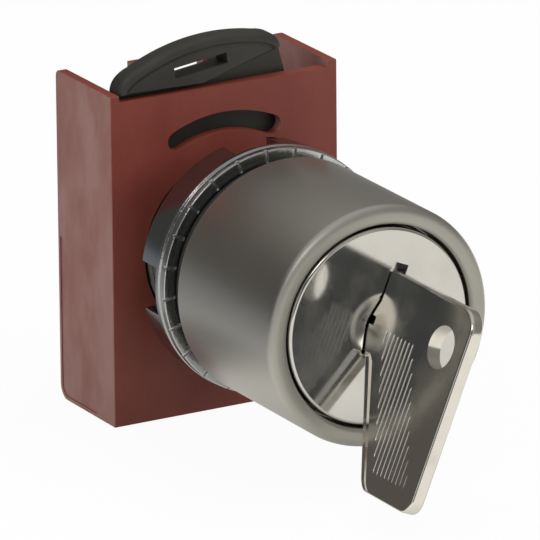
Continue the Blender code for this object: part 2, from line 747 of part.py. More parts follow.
def make_wafer(i, parts, cutters, brass):
    """One flat tumbler with its window for the blade and ends that follow the plug."""
    y = wafer_y(i)
    half = WAFER_THICKNESS / 2
    wafer = rod(f"wafer_{i + 1}", WAFER_RADIUS, y - half, y + half, MEDIUM, parts)
    reach = WAFER_RADIUS + CUT_SPARE
    sides = joined_cutter(f"wafer_sides_{i + 1}", [
        box("wafer_left", (-reach, y - reach, -reach), (-WAFER_HALF_WIDTH, y + reach, reach), cutters),
        box("wafer_right", (WAFER_HALF_WIDTH, y - reach, -reach), (reach, y + reach, reach), cutters),
    ], cutters)
    window = box(f"wafer_window_{i + 1}",
                 (-KEYWAY_HALF_WIDTH - SEAT_GAP, y - CUT_SPARE, -KEYWAY_HALF_HEIGHT),
                 (KEYWAY_HALF_WIDTH + SEAT_GAP, y + CUT_SPARE, KEYWAY_HALF_HEIGHT), cutters)
    cut(wafer, sides, window)
    return finish(wafer, brass)


def make_key(parts, cutters, nickel):
    """The flag-shaped key: a bow that hangs to one side of the blade, cut for five wafers."""
    top_front = (BOW_FRONT + BOW_TOP_ROUND, BOW_TOP - BOW_TOP_ROUND)
    low_front = (BOW_FRONT + BOW_FRONT_ROUND, -BOW_BOTTOM + BOW_FRONT_ROUND)
    low_rear = (BOW_FRONT + BOW_BOTTOM_DEPTH, -BOW_BOTTOM + BOW_REAR_ROUND)
    quarter = math.pi / 2
    bow_outline = [
        (BLADE_FRONT, BOW_TOP),
        *arc(top_front, BOW_TOP_ROUND, quarter, 2 * quarter, 8),
        *arc(low_front, BOW_FRONT_ROUND, 2 * quarter, 3 * quarter, 5),
        *arc(low_rear, BOW_REAR_ROUND, 3 * quarter, 3.7 * quarter, 3),
        (BLADE_FRONT - BOW_SHOULDER, -BLADE_HALF_HEIGHT - BOW_SHOULDER_DROP),
        (BLADE_FRONT, -BLADE_HALF_HEIGHT - BOW_SHOULDER_DROP / 2),
    ]
    bow = flat_plate("key", [bow_outline], KEY_THICKNESS, (0, 0, 0), FACING_SIDE, parts, edge=BOW_EDGE)
    top_edge = [(BLADE_FRONT - 2 * CUT_SPARE, BLADE_HALF_HEIGHT)]
    for i in range(WAFERS):
        floor = BLADE_HALF_HEIGHT - CUT_DEPTHS[i % len(CUT_DEPTHS)]
        flat = CUT_FLAT / 2
        wide = flat + CUT_DEPTHS[i % len(CUT_DEPTHS)] * CUT_SLOPE
        top_edge += [(wafer_y(i) - wide, BLADE_HALF_HEIGHT), (wafer_y(i) - flat, floor),
                     (wafer_y(i) + flat, floor), (wafer_y(i) + wide, BLADE_HALF_HEIGHT)]
    blade_outline = [
        *top_edge,
        (BLADE_REAR - BLADE_TIP, BLADE_HALF_HEIGHT),
        (BLADE_REAR, BLADE_TIP_HALF_HEIGHT),
        (BLADE_REAR, -BLADE_TIP_HALF_HEIGHT),
        (BLADE_REAR - BLADE_TIP, -BLADE_HALF_HEIGHT),
        (BLADE_FRONT - 2 * CUT_SPARE, -BLADE_HALF_HEIGHT),
    ]
    blade = flat_plate("key_blade", [blade_outline], KEY_THICKNESS - BLADE_INSET, (0, 0, 0), FACING_SIDE, cutters)
    fuse(bow, blade)
    bpy.ops.mesh.primitive_cylinder_add(vertices=SMALL, radius=RING_HOLE_RADIUS,
                                        depth=KEY_THICKNESS + 2 * CUT_SPARE,
                                        location=(0, BOW_FRONT + RING_HOLE_FROM_FRONT, RING_HOLE_HEIGHT),
                                        rotation=(0, math.pi / 2, 0))
    hole = bpy.context.object
    hole.name = "key_ring_hole"
    for old in hole.users_collection:
        old.objects.unlink(hole)
    cutters.objects.link(hole)
    grooves = []
    surface = KEY_THICKNESS / 2
    for side, low in ((-1, 0.0), (1, -BLADE_GROOVE_WIDTH)):
        inside = side * (surface - BLADE_GROOVE_DEPTH)
        outside = side * (surface + CUT_SPARE)
        grooves.append(box(
            f"blade_groove_{side}",
            (min(inside, outside), BLADE_FRONT - BLADE_GROOVE_RUN_OUT, low),
            (max(inside, outside), BLADE_REAR + CUT_SPARE, low + BLADE_GROOVE_WIDTH), cutters))
    cut(bow, hole, *grooves)
    return finish(bow, nickel)


def make_driver_cam(parts, cutters, plastic):
    """The cam behind the lock: two helical ramps behind, one stop lug in front."""
    hub_front = PLUG_REAR + RUN_GAP
    profile = [
        (0, CAM_REAR),
        (CAM_RADIUS, CAM_REAR),
        (CAM_RADIUS, CAM_FRONT),
        (HUB_RADIUS, CAM_FRONT),
        (HUB_RADIUS, hub_front),
        (0, hub_front),
    ]
    cam = turned("driver_cam", profile, MEDIUM, parts, closed=False)
    lug = sector("stop_lug", STOP_INNER_RADIUS, STOP_OUTER_RADIUS, HOUSING_REAR - STOP_REACH,
                 CAM_FRONT + SINK, math.pi - STOP_HALF_ANGLE, math.pi + STOP_HALF_ANGLE, 4, cutters)
    fuse(cam, lug)
    slope = RAMP_RISE / TURN
    inner = PLUNGER_OFFSET - RAMP_WIDTH / 2
    outer = PLUNGER_OFFSET + RAMP_WIDTH / 2
    span = TURN + 2 * RAMP_SPARE
    high = RAMP_TOP + slope * RAMP_SPARE
    below = rod("ramp_trim", CAM_RADIUS + CUT_SPARE, CAM_FRONT - 4 * RAMP_RISE, CAM_FRONT + SINK, SMALL, cutters)
    for side, middle in (("right", math.pi / 2), ("left", 1.5 * math.pi)):
        start = middle - REST_TURN - RAMP_SPARE
        ramp = sector(f"ramp_{side}", inner, outer, CAM_FRONT - 2 * RAMP_RISE, high, start, start + span, 16,
                      cutters, rise=-slope * span)
        cut(ramp, below)
        fuse(cam, ramp)
    hole = box("cam_square", (-TAIL_HALF - SEAT_GAP, hub_front - CUT_SPARE, -TAIL_HALF - SEAT_GAP),
               (TAIL_HALF + SEAT_GAP, CAM_REAR + CUT_SPARE, TAIL_HALF + SEAT_GAP), cutters)
    cut(cam, hole)
    return finish(cam, plastic)


def make_plug_clip(parts, steel):
    """The open ring on the plug's tail that keeps the cam on."""
    front = CAM_REAR + 2 * SEAT_GAP
    half = CLIP_MOUTH / 2
    return finish(sector("plug_clip", TAIL_NECK_RADIUS + SEAT_GAP, CLIP_RADIUS, front,
                         front + CLIP_THICKNESS, half, math.tau - half, 24, parts), steel)


def make_plunger(name, side, parts, cutters, plastic):
    """A push rod with a ridge that rides on its ramp and a collar for its spring."""
    x = side * PLUNGER_OFFSET
    plunger = rod(name, PLUNGER_RADIUS, COLLAR_FRONT - SINK / 2, PLUNGER_REAR, SMALL, parts,
                  place=(x, 0), chamfer=0.0003)
    plunger.data.transform(Matrix.Translation(plunger.location))
    collar = rod(name + "_collar", COLLAR_RADIUS, COLLAR_FRONT, COLLAR_REAR, SMALL, cutters, place=(x, 0))
    nose = flat_plate(name + "_nose", [[
        (PLUNGER_FRONT, PLUNGER_RIDGE / 2),
        (PLUNGER_FRONT, -PLUNGER_RIDGE / 2),
        (COLLAR_FRONT, -PLUNGER_RADIUS * 0.9),
        (COLLAR_FRONT + COLLAR_THICKNESS / 2, -PLUNGER_RADIUS * 0.9),
        (COLLAR_FRONT + COLLAR_THICKNESS / 2, PLUNGER_RADIUS * 0.9),
        (COLLAR_FRONT, PLUNGER_RADIUS * 0.9),
    ]], PLUNGER_RADIUS * 1.5, (x, 0, 0), FACING_SIDE, cutters)
    plunger.data.transform(Matrix.Translation(plunger.location).inverted())
    fuse(plunger, collar, nose)
    return finish(plunger, plastic)


def make_spring(name, side, parts, steel):
    """A coil spring round a plunger, from its collar to its seat in the guide."""
    front = COLLAR_REAR + SEAT_GAP + SPRING_WIRE_RADIUS
    rear = GUIDE_FRONT + SPRING_SEAT_DEPTH - SEAT_GAP - SPRING_WIRE_RADIUS
    steps = 11 * SPRING_TURNS
    curve = bpy.data.curves.new(name, "CURVE")
    curve.dimensions = "3D"
    curve.bevel_depth = SPRING_WIRE_RADIUS
    curve.bevel_resolution = 2
    curve.use_fill_caps = True
    spline = curve.splines.new("POLY")
    spline.points.add(steps)
    for i, point in enumerate(spline.points):
        share = i / steps
        x, z = polar(SPRING_RADIUS, share * SPRING_TURNS * math.tau)
        point.co = (x, front + (rear - front) * share, z, 1)
    made = add_object(name, curve, parts)
    made.location = (side * PLUNGER_OFFSET, 0, 0)
    curve.materials.append(steel)
    return made


def make_rear_guide(parts, cutters, plastic):
    """The plate that closes the neck and guides both plungers."""
    guide = rod("rear_guide", BORE_FIT, GUIDE_FRONT, GUIDE_REAR, MEDIUM, parts)
    hole_radius = PLUNGER_RADIUS + RUN_GAP
    seat_floor = GUIDE_FRONT + SPRING_SEAT_DEPTH
    for side, x in (("right", PLUNGER_OFFSET), ("left", -PLUNGER_OFFSET)):
        stepped = turned(f"guide_hole_{side}", [
            (0, GUIDE_REAR + CUT_SPARE),
            (hole_radius, GUIDE_REAR + CUT_SPARE),
            (hole_radius, seat_floor),
            (SPRING_SEAT_RADIUS, seat_floor),
            (SPRING_SEAT_RADIUS, GUIDE_FRONT - CUT_SPARE),
            (0, GUIDE_FRONT - CUT_SPARE),
        ], SMALL, cutters, closed=False)
        stepped.location = (x, 0, 0)
        cut(guide, stepped)
    return finish(guide, plastic)


def make_guide_circlip(parts, steel):
    half = CIRCLIP_MOUTH / 2
    outer = NECK_BORE_RADIUS + CIRCLIP_GROOVE_DEPTH - SEAT_GAP
    return finish(sector("guide_circlip", outer - CIRCLIP_WIDTH, outer, CIRCLIP_FRONT,
                         CIRCLIP_FRONT + CIRCLIP_THICKNESS, math.pi + half, 3 * math.pi - half, 30, parts), steel)


def holder_side_outline():
    foot = (HOLDER_REAR - HOLDER_FOOT_ROUND, HOLDER_BOTTOM + HOLDER_FOOT_ROUND)
    head = (HOLDER_REAR - HOLDER_HEAD_ROUND, HOLDER_TOP - HOLDER_HEAD_ROUND)
    return [
        (HOLDER_FRONT, HOLDER_TOP),
        (HOLDER_FRONT, HOLDER_BOTTOM),
        *arc(foot, HOLDER_FOOT_ROUND, -math.pi / 2, 0, 5),
        *arc(head, HOLDER_HEAD_ROUND, 0, math.pi / 2, 3),
    ]


def side_panel_outline():
    """The shallow sunk field on each side wall, whose foot follows the wall's own."""
    foot = (HOLDER_REAR - HOLDER_FOOT_ROUND, HOLDER_BOTTOM + HOLDER_FOOT_ROUND)
    return [
        (SIDE_PANEL_FRONT, SIDE_PANEL_TOP),
        (SIDE_PANEL_FRONT, HOLDER_BOTTOM + SIDE_PANEL_MARGIN),
        *arc(foot, HOLDER_FOOT_ROUND - SIDE_PANEL_MARGIN, -math.pi / 2, 0, 5),
        (HOLDER_REAR - SIDE_PANEL_MARGIN, SIDE_PANEL_TOP),
    ]


def make_lever_hook(i, clock, cutters):
    """A hook inside the holder that keeps the lever's ring against the front plate."""
    inner = LEVER_RING_RADIUS + RUN_GAP
    half = HOOK_WIDTH / 2 / inner
    front = LEVER_REAR + RUN_GAP
    rear = front + HOOK_WALL
    section = [(inner, PLATE_REAR - HOLDER_PLATE / 2), (inner + HOOK_WALL, PLATE_REAR - HOLDER_PLATE / 2),
               (inner + HOOK_WALL, rear), (inner - HOOK_BITE, rear), (inner - HOOK_BITE, front), (inner, front)]
    return swept(f"lever_hook_{i}", section, clock - half, clock + half, 4, cutters)


def make_holder(parts, cutters, moulded):
    """The moulded holder: front plate, two side walls, a floor and the bays for contact blocks."""
    holder = flat_plate("mounting_holder", [holder_side_outline()], 2 * HOLDER_HALF_WIDTH, (0, 0, 0),
                        FACING_SIDE, parts, edge=HOLDER_EDGE)
    inner = INNER_HALF_WIDTH
    floor = HOLDER_BOTTOM + HOLDER_WALL
    cavity = box("holder_cavity", (-inner, PLATE_REAR, floor),
                 (inner, HOLDER_REAR + CUT_SPARE, HOLDER_TOP + CUT_SPARE), cutters)
    step = box("plate_step", (-inner, HOLDER_FRONT - CUT_SPARE, PLATE_TOP),
               (inner, HOLDER_REAR + CUT_SPARE, HOLDER_TOP + CUT_SPARE), cutters)
    hole = rod("neck_hole", HOLE_RADIUS, HOLDER_FRONT - CUT_SPARE, PLATE_REAR + CUT_SPARE, FINE, cutters)
    half = ARC_SLOT_WIDTH / 2
    slot = sector("arc_slot", ARC_SLOT_RADIUS - half, ARC_SLOT_RADIUS + half, HOLDER_FRONT - CUT_SPARE,
                  PLATE_REAR + CUT_SPARE, -ARC_SLOT_HALF_ANGLE, ARC_SLOT_HALF_ANGLE, 16, cutters)
    cut(holder, cavity, step, hole, slot)
    for side in (-1, 1):
        end = rod(f"arc_slot_end_{side}", half, HOLDER_FRONT - CUT_SPARE, PLATE_REAR + CUT_SPARE, SMALL, cutters,
                  place=polar(ARC_SLOT_RADIUS, side * ARC_SLOT_HALF_ANGLE))
        cut(holder, end)
    bar_rear = HOLDER_REAR - REAR_INSET
    bar = box("crossbar", (-inner - SINK, bar_rear - CROSSBAR_DEPTH, CROSSBAR_TOP - CROSSBAR_HEIGHT),
              (inner + SINK, bar_rear, CROSSBAR_TOP), cutters)
    fuse(holder, bar)
    for side in (-1, 1):
        finger = box(f"finger_{side}",
                     (side * BAY_PITCH / 2 - FINGER_WIDTH / 2, HOLDER_REAR - FINGER_DEPTH,
                      CROSSBAR_TOP - CROSSBAR_HEIGHT / 2),
                     (side * BAY_PITCH / 2 + FINGER_WIDTH / 2, bar_rear - REAR_INSET, FINGER_TOP), cutters)
        divider = box(f"divider_{side}",
                      (side * BAY_PITCH / 2 - DIVIDER_WIDTH / 2, LEVER_REAR + 2 * RUN_GAP, floor - SINK),
                      (side * BAY_PITCH / 2 + DIVIDER_WIDTH / 2, HOLDER_REAR - HOLDER_FOOT_ROUND,
                       floor + DIVIDER_HEIGHT), cutters)
        fuse(holder, finger, divider)
        fuse(holder, make_lever_hook(side, math.pi + side * HOOK_ANGLE, cutters))
    latches = [
        box(f"latch_window_{i}",
            (i * BAY_PITCH - LATCH_WIDTH / 2, HOLDER_REAR - LATCH_FROM_REAR - LATCH_DEPTH,
             HOLDER_BOTTOM - CUT_SPARE),
            (i * BAY_PITCH + LATCH_WIDTH / 2, HOLDER_REAR - LATCH_FROM_REAR, floor + CUT_SPARE), cutters)
        for i in (-1, 0, 1)
    ]
    cut(holder, joined_cutter("latch_windows", latches, cutters))
    for side in (-1, 1):
        cut(holder, flat_plate(f"side_panel_{side}", [side_panel_outline()], 2 * SIDE_PANEL_DEPTH,
                               (side * HOLDER_HALF_WIDTH, 0, 0), FACING_SIDE, cutters))
    return finish(holder, moulded)


def lever_side(z, inset=0.0):
    """Half width of the lever at a height, so that its edge lies along the holder's wall at each limit."""
    return (LEVER_REACH - inset - z * math.sin(LEVER_SWING)) / math.cos(LEVER_SWING)


def lever_back_outline():
    """The ring round the neck and the arm that rises from it behind the thumb piece."""
    steps = 40
    sweep = math.tau - 2 * LEVER_WAIST
    ring = [polar(LEVER_RING_RADIUS, LEVER_WAIST + sweep * i / steps) for i in range(steps + 1)]
    past_round = LEVER_BACK_HALF_ANGLE - LEVER_CORNER_ROUND / LEVER_BACK_RADIUS
    top = [polar(LEVER_BACK_RADIUS, past_round * (1 - i / 8)) for i in range(17)]
    low = polar(LEVER_BACK_RADIUS, LEVER_BACK_HALF_ANGLE)[1] - LEVER_CORNER_ROUND
    right = [
        (lever_side(LEVER_SHOULDER, LEVER_BACK_INSET), LEVER_SHOULDER),
        (lever_side(low, LEVER_BACK_INSET), low),
    ]
    return [*((-x, z) for x, z in reversed(right)), *reversed(top), *reversed(right), *ring]


def lever_hole_outline():
    """The hole for the neck with the lugs that turn into its groove."""
    step = math.tau / LOCK_LUGS
    points = []
    for i in range(LOCK_LUGS):
        middle = LOCK_LUG_FIRST + i * step
        low, high = middle - LOCK_LUG_HALF_ANGLE, middle + LOCK_LUG_HALF_ANGLE
        points += [polar(LOCK_LUG_RADIUS, low + (high - low) * k / 3) for k in range(4)]
        gap = step - (high - low)
        points += [polar(HOLE_RADIUS, high + gap * k / 16) for k in range(17)]
    return points


def tool_slot_outline():
    half = TOOL_SLOT_LENGTH / 2
    low, high = TOOL_SLOT_RADIUS - TOOL_SLOT_HEIGHT / 2, TOOL_SLOT_RADIUS + TOOL_SLOT_HEIGHT / 2
    nip = TOOL_SLOT_HEIGHT * 0.3
    right = [(half - nip, low), (half, low + nip), (half, high - nip), (half - nip, high)]
    return right + [(-x, z) for x, z in reversed(right)]


def thumb_outline():
    """The thumb piece: an arc above, and below it a shallow V whose sides follow the plate's top edge."""
    low_x = lever_side(THUMB_BOTTOM + THUMB_RISE)
    low_z = THUMB_BOTTOM + low_x * math.tan(LEVER_SWING)
    clock = THUMB_HALF_ANGLE
    past_round = clock - LEVER_CORNER_ROUND / LEVER_RADIUS
    top = [polar(LEVER_RADIUS, past_round * (1 - i / 10)) for i in range(21)]
    corner = polar(LEVER_RADIUS, clock)
    start = (lever_side(corner[1] - LEVER_CORNER_ROUND), corner[1] - LEVER_CORNER_ROUND)
    right = []
    for share in (0, 0.25, 0.5, 0.75):
        weights = ((1 - share) ** 2, 2 * share * (1 - share), share ** 2)
        right.append(tuple(sum(w * p[axis] for w, p in zip(weights, (start, corner, top[0]))) for axis in (0, 1)))
    left = [(-x, z) for x, z in reversed(right)]
    return [(0, THUMB_BOTTOM), (low_x, low_z), *right, *top, *left, (-low_x, low_z)]


def make_lever(parts, cutters, plastic):
    """The lever that turns behind the front plate and locks the holder to the neck."""
    lever = flat_plate("lock_lever", [lever_back_outline(), lever_hole_outline()], LEVER_PLATE,
                       (0, (LEVER_FRONT + LEVER_REAR) / 2, 0), FACING_FRONT, parts)
    thumb = flat_plate("lever_thumb", [thumb_outline()], THUMB_THICKNESS,
                       (0, (THUMB_FRONT + THUMB_REAR) / 2, 0), FACING_FRONT, cutters, edge=LEVER_EDGE)
    slot = flat_plate("tool_slot", [tool_slot_outline()], LEVER_REAR - THUMB_FRONT + 2 * CUT_SPARE,
                      (0, (LEVER_REAR + THUMB_FRONT) / 2, 0), FACING_FRONT, cutters)
    fuse(lever, thumb)
    cut(lever, slot)
    return finish(lever, plastic)


def main():
    for obj in list(bpy.data.objects):
        bpy.data.objects.remove(obj)
    parts = new_collection("key_selector_switch")
    cutters = new_collection("cutters")
    cutters.hide_render = True

    satin = make_material("satin_chrome", (0.32, 0.31, 0.29), 0.38, 1.0)
    polished = make_material("polished_steel", (0.62, 0.61, 0.58), 0.12, 1.0)
    bright = make_material("bright_zinc", (0.55, 0.56, 0.56), 0.22, 1.0)
    brass = make_material("lock_brass", (0.55, 0.42, 0.18), 0.35, 1.0)
    zinc = make_material("lock_zinc", (0.42, 0.42, 0.41), 0.45, 1.0)
    steel = make_material("spring_steel", (0.40, 0.40, 0.40), 0.30, 1.0)
    nickel = make_material("key_nickel", (0.50, 0.48, 0.45), 0.20, 1.0)
    rubber = make_material("seal_rubber", (0.02, 0.02, 0.02), 0.80)
    maroon = make_material("holder_plastic", (0.16, 0.045, 0.035), 0.50)
    black = make_material("lever_plastic", (0.03, 0.03, 0.028), 0.45)
    ivory = make_material("cam_plastic", (0.60, 0.58, 0.52), 0.50)

    make_operator_body(parts, cutters, satin)
    make_gasket(parts, rubber)
    make_ring_nut(parts, cutters, bright)
    make_rotor_seal(parts, rubber)
    make_lock_housing(parts, cutters, zinc)
    make_clamp_ring(parts, cutters, steel)
    make_rear_guide(parts, cutters, ivory)
    make_guide_circlip(parts, steel)
    make_holder(parts, cutters, maroon)
    for name, side in (("left", -1), ("right", 1)):
        make_plunger(f"plunger_{name}", side, parts, cutters, ivory)
        make_spring(f"plunger_spring_{name}", side, parts, steel)

    rotor = carrier("rotor_axis", parts, turn=REST_TURN)
    for piece in (
        make_rotor_disc(parts, cutters, polished),
        make_lock_plug(parts, cutters, brass),
        make_driver_cam(parts, cutters, black),
        make_plug_clip(parts, steel),
        *(make_wafer(i, parts, cutters, brass) for i in range(WAFERS)),
    ):
        piece.parent = rotor
    key_axis = carrier("key_axis", parts, parent=rotor)
    make_key(parts, cutters, nickel).parent = key_axis

    lever_axis = carrier("lever_axis", parts, turn=-LEVER_SWING)
    make_lever(parts, cutters, black).parent = lever_axis


main()
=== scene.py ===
# %% [markdown]
# # A key selector switch
#
# This lesson dresses the packed model of a panel-mounted key switch: a satin metal barrel with a
# polished disc and a flag-shaped key in front, and a ring nut, a moulded holder and a lever behind.
# The packed model fixes every size and every moving body. What this file adds is the finish of each
# surface, the fillets that catch the light, the thread, and a small photographic set.
#
# X runs right, Z runs up and the front of the switch faces -Y. Blender works in metres. The shapes are
# written in millimetres, and MM turns one into the other.

# %% Load the packed frame
import math

import bmesh
import bpy
from mathutils import Matrix, Vector


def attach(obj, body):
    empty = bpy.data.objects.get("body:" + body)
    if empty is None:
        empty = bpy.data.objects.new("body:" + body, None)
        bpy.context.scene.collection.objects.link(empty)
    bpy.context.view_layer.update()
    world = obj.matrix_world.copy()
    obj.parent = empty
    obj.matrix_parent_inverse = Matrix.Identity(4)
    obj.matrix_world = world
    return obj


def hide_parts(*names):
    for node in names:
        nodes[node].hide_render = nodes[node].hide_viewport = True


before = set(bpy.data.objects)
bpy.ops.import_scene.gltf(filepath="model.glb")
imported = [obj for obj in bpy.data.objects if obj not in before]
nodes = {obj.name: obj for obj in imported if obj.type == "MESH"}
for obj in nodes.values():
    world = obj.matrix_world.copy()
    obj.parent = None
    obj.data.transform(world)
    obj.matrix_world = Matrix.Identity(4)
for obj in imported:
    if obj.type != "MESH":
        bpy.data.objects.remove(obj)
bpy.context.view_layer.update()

MM = 0.001

# %% [markdown]
# ## Camera
#
# The photograph was taken from about a metre away with a long lens, from the left and a little above.
# A long lens keeps parallel edges nearly parallel, which is why the round front still looks like a true
# ellipse. The camera could be turned by hand until it looks right. Here its place, its target and its
# focal length come from fitting the round edges of the barrel, so they are written as numbers.

# %% Camera
EYE = Vector((-0.511383, -0.906934, 0.338871))
TARGET = Vector((-0.046698, -0.0816, 0.0308))
ROLL = -0.009
FOCAL_PIXELS = 9202.95
PHOTO_WIDTH = 540
SENSOR_WIDTH = 36
SHIFT = -0.00168


def look(eye, target, roll=0.0):
    """A matrix that stands at the eye, looks at the target and leans over by the roll."""
    forward = (target - eye).normalized()
    level = forward.cross(Vector((0, 0, 1))).normalized()
    upright = level.cross(forward)
    right = level * math.cos(roll) + upright * math.sin(roll)
    up = upright * math.cos(roll) - level * math.sin(roll)
    return Matrix.Translation(eye) @ Matrix((right, up, -forward)).transposed().to_4x4()


camera = bpy.data.objects.new("camera", bpy.data.cameras.new("camera"))
bpy.context.scene.collection.objects.link(camera)
camera.matrix_world = look(EYE, TARGET, ROLL)
camera.data.sensor_width = SENSOR_WIDTH
camera.data.lens = FOCAL_PIXELS / PHOTO_WIDTH * SENSOR_WIDTH
camera.data.shift_x = SHIFT
bpy.context.scene.camera = camera
print("focal length:", round(camera.data.lens, 1), "mm")

# %% [markdown]
# ## Shader maths as Python
#
# A material that varies over a surface is a small calculation: take a noise, scale it, add it to a base
# roughness. Blender draws that as a web of Math nodes. The class below wraps one output socket, and its
# operators add those nodes, so that `0.3 + 0.1 * noise` reads as the sum it is. Colours go through Mix
# and Vector Math nodes instead, because a Math node would turn them grey.

# %% A socket with operators
class Signal:
    """One output of a node, which can be used in sums."""

    def __init__(self, finish, socket):
        self.finish = finish
        self.socket = socket

    def _math(self, operation, *values):
        return self.finish.add("Math", {"operation": operation}, *values)

    def __add__(self, other):
        return self._math("ADD", self, other)

    def __radd__(self, other):
        return self._math("ADD", other, self)

    def __sub__(self, other):
        return self._math("SUBTRACT", self, other)

    def __rsub__(self, other):
        return self._math("SUBTRACT", other, self)

    def __mul__(self, other):
        return self._math("MULTIPLY", self, other)

    def __rmul__(self, other):
        return self._math("MULTIPLY", other, self)

    def clamp(self):
        return self.finish.add("Clamp", {}, self)

    def step(self, low, high):
        """0 below low, 1 above high, and a smooth rise between."""
        return self.finish.add("MapRange", {"interpolation_type": "SMOOTHSTEP"}, self, low, high, 0.0, 1.0)


print("operators:", [name for name in vars(Signal) if name.startswith("__r")], "and their plain forms")

# %% [markdown]
# ## One finish, one material
#
# A finish owns the nodes of a material, or of the room. Its `add` method makes every node: the node's
# type, then its settings, then what goes into its sockets by order or by name. `paint` fills in the
# Principled shader, and `height` makes the Bump node that feeds its Normal.

# %% A material builder
class Finish:
    """The nodes of a material, or of another owner of nodes that is handed in."""

    def __init__(self, name, owner=None):
        self.owner = owner or bpy.data.materials.new(name)
        self.owner.use_nodes = True
        self.nodes = self.owner.node_tree.nodes
        self.links = self.owner.node_tree.links

    def add(self, kind, settings, *values, out=0, **named):
        """Add a node, set it up, join its inputs and return one of its outputs."""
        node = self.nodes.new("ShaderNode" + kind)
        for key, value in settings.items():
            setattr(node, key, value)
        pairs = list(zip(node.inputs, values))
        pairs += [(node.inputs[key.replace("_", " ")], value) for key, value in named.items()]
        for socket, value in pairs:
            self.join(value, socket)
        return Signal(self, node.outputs[out])

    def join(self, value, socket):
        """Link a signal to a socket, or set the socket to a plain value; None leaves it alone."""
        if isinstance(value, Signal):
            self.links.new(value.socket, socket)
        elif value is not None:
            if socket.type == "RGBA" and len(value) == 3:
                value = (*value, 1)
            socket.default_value = value

    def place(self):
        """The position on the piece, in millimetres."""
        spot = self.add("TexCoord", {}, out="Object")
        return self.add("VectorMath", {"operation": "SCALE"}, spot, Scale=1 / MM)

    def axis(self, vector, name):
        """The X, Y or Z of a vector."""
        return self.add("SeparateXYZ", {}, vector, out=name)

    def distance(self, place, centre):
        return self.add("VectorMath", {"operation": "DISTANCE"}, place, centre, out="Value")

    def stretch(self, place, factors):
        return self.add("VectorMath", {"operation": "MULTIPLY"}, place, factors)

    def noise(self, place, scale, detail=3.0, roughness=0.55):
        return self.add("TexNoise", {}, Vector=place, Scale=scale, Detail=detail, Roughness=roughness)

    def blend(self, share, first, second):
        """A colour between two, by a share from 0 to 1; the node's colours come after five other sockets."""
        return self.add("Mix", {"data_type": "RGBA"}, share, *[None] * 5, first, second, out=2)

    def height(self, signal, depth, strength=1.0):
        """Bumps of a depth in millimetres."""
        return self.add("Bump", {}, Height=signal, Distance=depth * MM, Strength=strength)

    def paint(self, **named):
        """Fill in the Principled shader and return the finished material."""
        shader = self.nodes["Principled BSDF"]
        for key, value in named.items():
            self.join(value, shader.inputs[key.replace("_", " ")])
        print(f"{self.owner.name}: {len(self.nodes)} nodes")
        return self.owner


print("a finish can add:", [name for name in vars(Finish) if not name.startswith("_")])

# %% [markdown]
# ## Satin metal
#
# The barrel is die-cast metal that was blasted and plated, so it mirrors its surroundings only as a soft
# blur. Two things make that: a roughness a little above a third, and a grain of about a tenth of a
# millimetre. A uniform roughness would look like paint, so a slow noise moves it by a few hundredths.

# %% Satin metal
BEZEL_FADE = (-24.45, -23.9)


def satin_metal():
    """Blasted and plated; the bezel at the front is blasted coarser than the barrel."""
    finish = Finish("satin_chrome")
    place = finish.place()
    bezel = 1 - finish.axis(place, "Y").step(*BEZEL_FADE)
    slow = finish.noise(place, 0.12)
    grain = finish.noise(place, 7.0, 2.0)
    tone = finish.blend(slow, (0.54, 0.525, 0.485), (0.58, 0.565, 0.525))
    tone = finish.blend(bezel, tone, (0.48, 0.47, 0.425))
    return finish.paint(
        Base_Color=tone, Metallic=1.0, Roughness=0.33 + 0.05 * slow + 0.03 * grain + 0.16 * bezel,
        Normal=finish.height(grain, 0.02, 0.35))


SATIN = satin_metal()

# %% [markdown]
# ## Polished steel, bright zinc and nickel plate
#
# These three mirror the room, and what tells them apart is how the mirror is spoilt. The disc has faint
# upright hairlines and a few smudges. The ring nut is a raw casting that was plated bright: its front is
# full of small pits and lumps, and each of them throws its own spark of light. The key is plated, with
# long scratches and soft worn patches.

# %% Polished steel
def polished_steel():
    finish = Finish("polished_steel")
    place = finish.place()
    hairs = finish.noise(finish.stretch(place, (26.0, 26.0, 0.9)), 1.0, 3.0, 0.7)
    smudge = finish.noise(place, 0.16, 4.0).step(0.45, 0.75)
    return finish.paint(
        Base_Color=finish.blend(smudge, (0.64, 0.63, 0.60), (0.59, 0.58, 0.55)), Metallic=1.0,
        Roughness=0.072 + 0.05 * smudge + 0.07 * hairs.step(0.44, 0.62),
        Normal=finish.height(hairs, 0.002, 0.04))


POLISHED = polished_steel()

# %% Bright zinc
CAST_SKIN_AND_SHADE_FADE = (1.2, 2.4)


def bright_zinc():
    """Smooth on the outside; the front face, where the serrations are, has rough cast skin and a darker
    bluish tone that is painted shade.
    """
    finish = Finish("bright_zinc")
    place = finish.place()
    # The front's darker tone is painted shade from the barrel in front of the nut; its lumps and pits are
    # the real cast skin.
    front = 1 - finish.axis(place, "Y").step(*CAST_SKIN_AND_SHADE_FADE)
    lumps = finish.noise(place, 1.1, 5.0, 0.65)
    pits = finish.add("TexVoronoi", {}, Vector=place, Scale=2.6).step(0.02, 0.30)
    return finish.paint(
        Base_Color=finish.blend(front, (0.31, 0.345, 0.365), (0.52, 0.53, 0.53)), Metallic=1.0,
        Roughness=0.12 + 0.12 * lumps,
        Normal=finish.height((lumps + 0.35 * pits) * (0.12 + 0.88 * front), 0.08, 0.5))


ZINC = bright_zinc()

# %% Nickel plate
def nickel_plate():
    finish = Finish("key_nickel")
    place = finish.place()
    scratches = finish.noise(finish.stretch(place, (6.0, 0.5, 1.4)), 1.0, 5.0, 0.7)
    worn = finish.noise(place, 0.22, 4.0).step(0.42, 0.72)
    return finish.paint(
        Base_Color=finish.blend(worn, (0.78, 0.755, 0.70), (0.70, 0.665, 0.60)), Metallic=1.0,
        Roughness=0.135 + 0.09 * worn + 0.05 * scratches, Normal=finish.height(scratches, 0.004, 0.5))


NICKEL = nickel_plate()
